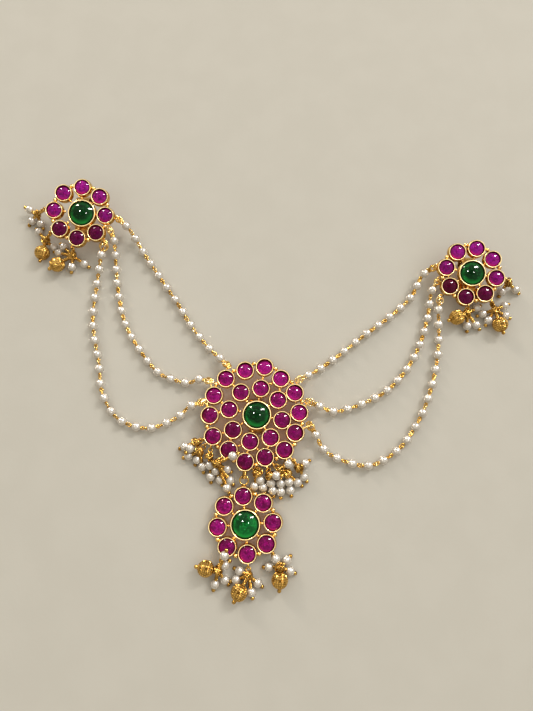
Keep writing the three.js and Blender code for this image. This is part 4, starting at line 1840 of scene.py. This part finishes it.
LAMPS = (
    AreaLamp("key_lamp", (1200.0, 1290.0, 1340.0), 0.6, 0.2, 12.0, (1.0, 0.97, 0.92)),
    AreaLamp("left_lamp", (-1206.0, 1652.0, 843.0), 0.4, 0.22, 8.0, (1.0, 0.9, 0.78)),
    AreaLamp("key_sheen", (1202.0, 1292.0, 1342.0), 0.9, 0.34, 34.0, (1.0, 0.98, 0.95), Reach.SHEEN),
    AreaLamp("left_sheen", (-1208.0, 1654.0, 844.0), 0.6, 0.3, 16.0, (1.0, 0.92, 0.8), Reach.SHEEN),
    AreaLamp("key_glint", (1204.0, 1294.0, 1345.0), 0.85, 0.3, 165.0, (1.0, 0.98, 0.95), Reach.GLINT),
    AreaLamp("left_glint", (-1210.0, 1656.0, 846.0), 0.55, 0.28, 60.0, (1.0, 0.9, 0.76), Reach.GLINT),
    AreaLamp("left_spark", (-520.0, 360.0, 1400.0), 0.15, 0.11, 36.0, (1.0, 1.0, 0.98), Reach.SPARK),
    AreaLamp("right_spark", (460.0, 60.0, 1440.0), 0.12, 0.09, 14.0, (1.0, 0.97, 0.92), Reach.SPARK),
    AreaLamp("rim_panel", (4.0, -20.0, 900.0), 0.7, 0.7, 2.9, (1.0, 0.97, 0.9), Reach.RIM),
)


@dataclass(frozen=True)
class Studio:
    """Floor, lamps, sky and camera; the target and the eye are in millimetres."""

    target: Point = (4.14, 24.17, 0.0)
    eye: Point = (4.14, -23.7, 207.5)
    lens: float = 27.04
    sensor: float = 36.0
    nearest: float = 0.01
    floor_side: float = 2.4
    zenith: Colour = (0.1, 0.095, 0.09, 1.0)
    zenith_edges: Span = (0.9, 0.975)
    collar: Colour = (1.12, 1.09, 1.03, 1.0)
    collar_way: Span = (0.6, 0.8)
    collar_edges: Span = (-0.6, 0.65)
    shade: Colour = (0.63, 0.585, 0.5, 1.0)
    horizon: Colour = (0.19, 0.155, 0.09, 1.0)
    horizon_edges: Span = (0.05, 0.45)
    rose: Tint = (1.0, 0.4, 0.28)
    rose_power: float = 0.5
    rose_inset: float = 1.0
    rose_drop: float = 0.2

    def build(
        self,
        finishes: FinishRack,
        lit: dict[Reach, Sequence[bpy.types.Object]],
        florets: Iterable[Floret],
    ) -> None:
        """Makes the floor, the lamps, the sky and the camera.

        Args:
            finishes: the materials.
            lit: the pieces that the lamps of a narrower reach light.
            florets: the florets whose stones let coloured light through.
        """
        self._floor(finishes)
        takers = {}
        for reach, pieces in lit.items():
            takers[reach] = bpy.data.collections.new(f"{reach.name.lower()}_takers")
            for piece in pieces:
                takers[reach].objects.link(piece)
        for lamp in LAMPS:
            self._lamp(lamp, takers)
        for floret in florets:
            self._stone_light(floret)
        self._sky()
        self._camera()
        bpy.context.scene.view_settings.view_transform = "Standard"

    def _floor(self, finishes: FinishRack) -> None:
        """Lays the floor at height zero.

        Args:
            finishes: the materials.
        """
        bm = bmesh.new()
        bmesh.ops.create_grid(bm, x_segments=1, y_segments=1, size=self.floor_side / 2)
        mesh = bpy.data.meshes.new("pale_floor")
        bm.to_mesh(mesh)
        bm.free()
        mesh.materials.append(finishes.floor.material)
        floor = bpy.data.objects.new("pale_floor", mesh)
        bpy.context.scene.collection.objects.link(floor)

    def _lamp(self, lamp: AreaLamp, takers: dict[Reach, bpy.types.Collection]) -> None:
        """Hangs one lamp, aimed at the ornament's middle.

        Args:
            lamp: its sizes.
            takers: for each narrower reach, the pieces that its lamps light.
        """
        data = bpy.data.lights.new(lamp.name, "AREA")
        data.shape = "RECTANGLE"
        data.size = lamp.width
        data.size_y = lamp.depth
        data.energy = lamp.power
        data.color = lamp.colour
        hung = bpy.data.objects.new(lamp.name, data)
        hung.visible_diffuse = lamp.reach is Reach.ALL
        if lamp.reach in takers:
            hung.light_linking.receiver_collection = takers[lamp.reach]
        hung.matrix_world = self._looking_from(lamp.place)
        bpy.context.scene.collection.objects.link(hung)

    def _stone_light(self, floret: Floret) -> None:
        """Hangs the faint rose light that falls through a floret's stones onto the floor.

        Args:
            floret: the floret.
        """
        reach = max(spot.length for spot in floret.inner() + floret.outer()) - self.rose_inset
        data = bpy.data.lights.new(f"{floret.name}_stone_light", "AREA")
        data.shape = "DISK"
        data.size = 2 * reach * MM
        data.energy = self.rose_power * math.pi * (reach * MM) ** 2
        data.color = self.rose
        hung = bpy.data.objects.new(data.name, data)
        below = Matrix.Translation((0, 0, -SMALL_BEZEL.height - self.rose_drop))
        hung.matrix_world = floret.place() @ below
        hung.matrix_world.translation *= MM
        bpy.context.scene.collection.objects.link(hung)

    def _sky(self) -> None:
        """Sets a sky that is bright towards the lamps, and darker overhead, in front and at the horizon."""
        world = bpy.data.worlds.new("pale_sky")
        world.use_nodes = True
        bench = NodeBench(world.node_tree)
        seen = bench.add("ShaderNodeTexCoord").outputs["Generated"]
        way = bench.add("ShaderNodeSeparateXYZ", Vector=seen).outputs
        across, back = (bench.times(way[axis], share) for axis, share in zip("XY", self.collar_way))
        facing = bench.ramp(bench.math("ADD", across, back), self.collar_edges)
        collar = bench.blend(facing, self.shade, self.collar)
        lower = bench.blend(bench.ramp(way["Z"], self.horizon_edges), self.horizon, collar)
        colour = bench.blend(bench.ramp(way["Z"], self.zenith_edges), lower, self.zenith)
        bench.set(world.node_tree.nodes["Background"], Color=colour)
        bpy.context.scene.world = world

    def _camera(self) -> None:
        """Sets the camera at the photograph's angle."""
        data = bpy.data.cameras.new("photo_camera")
        data.lens = self.lens
        data.sensor_width = self.sensor
        data.clip_start = self.nearest
        camera = bpy.data.objects.new("photo_camera", data)
        camera.matrix_world = self._looking_from(self.eye)
        bpy.context.scene.collection.objects.link(camera)
        bpy.context.scene.camera = camera

    def _looking_from(self, place: Point) -> Matrix:
        """A place that looks at the target with +Y up in the picture.

        Args:
            place: where it stands, in millimetres.

        Returns:
            The place's matrix, in metres.
        """
        stand = Vector(place) * MM
        back = (stand - Vector(self.target) * MM).normalized()
        right = Vector((0, 1, 0)).cross(back).normalized()
        turn = Matrix((right, back.cross(right), back)).transposed().to_4x4()
        return Matrix.Translation(stand) @ turn


def main() -> None:
    """Builds every piece in order."""
    logging.basicConfig(level=logging.INFO, format="%(name)s: %(message)s")
    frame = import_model()
    finishes = FinishRack()
    moulds = Moulds()
    settings, middles, glossy = [], [], []
    for floret in FLORETS.values():
        setting, stones = floret.build(moulds, finishes)
        settings.append(setting)
        middles.append(stones[-1])
        glossy += stones
    glossy += [strand.build(moulds, finishes) for strand in STRANDS]
    glossy += [cluster.build(moulds, finishes) for cluster in CLUSTERS]
    PendantHanger().build(moulds, finishes)
    HairClips().dress(frame, finishes)
    lit = {Reach.GLINT: glossy, Reach.SPARK: middles, Reach.RIM: settings}
    Studio().build(finishes, lit, FLORETS.values())
    moulds.clear()


if __name__ == "__main__":
    main()
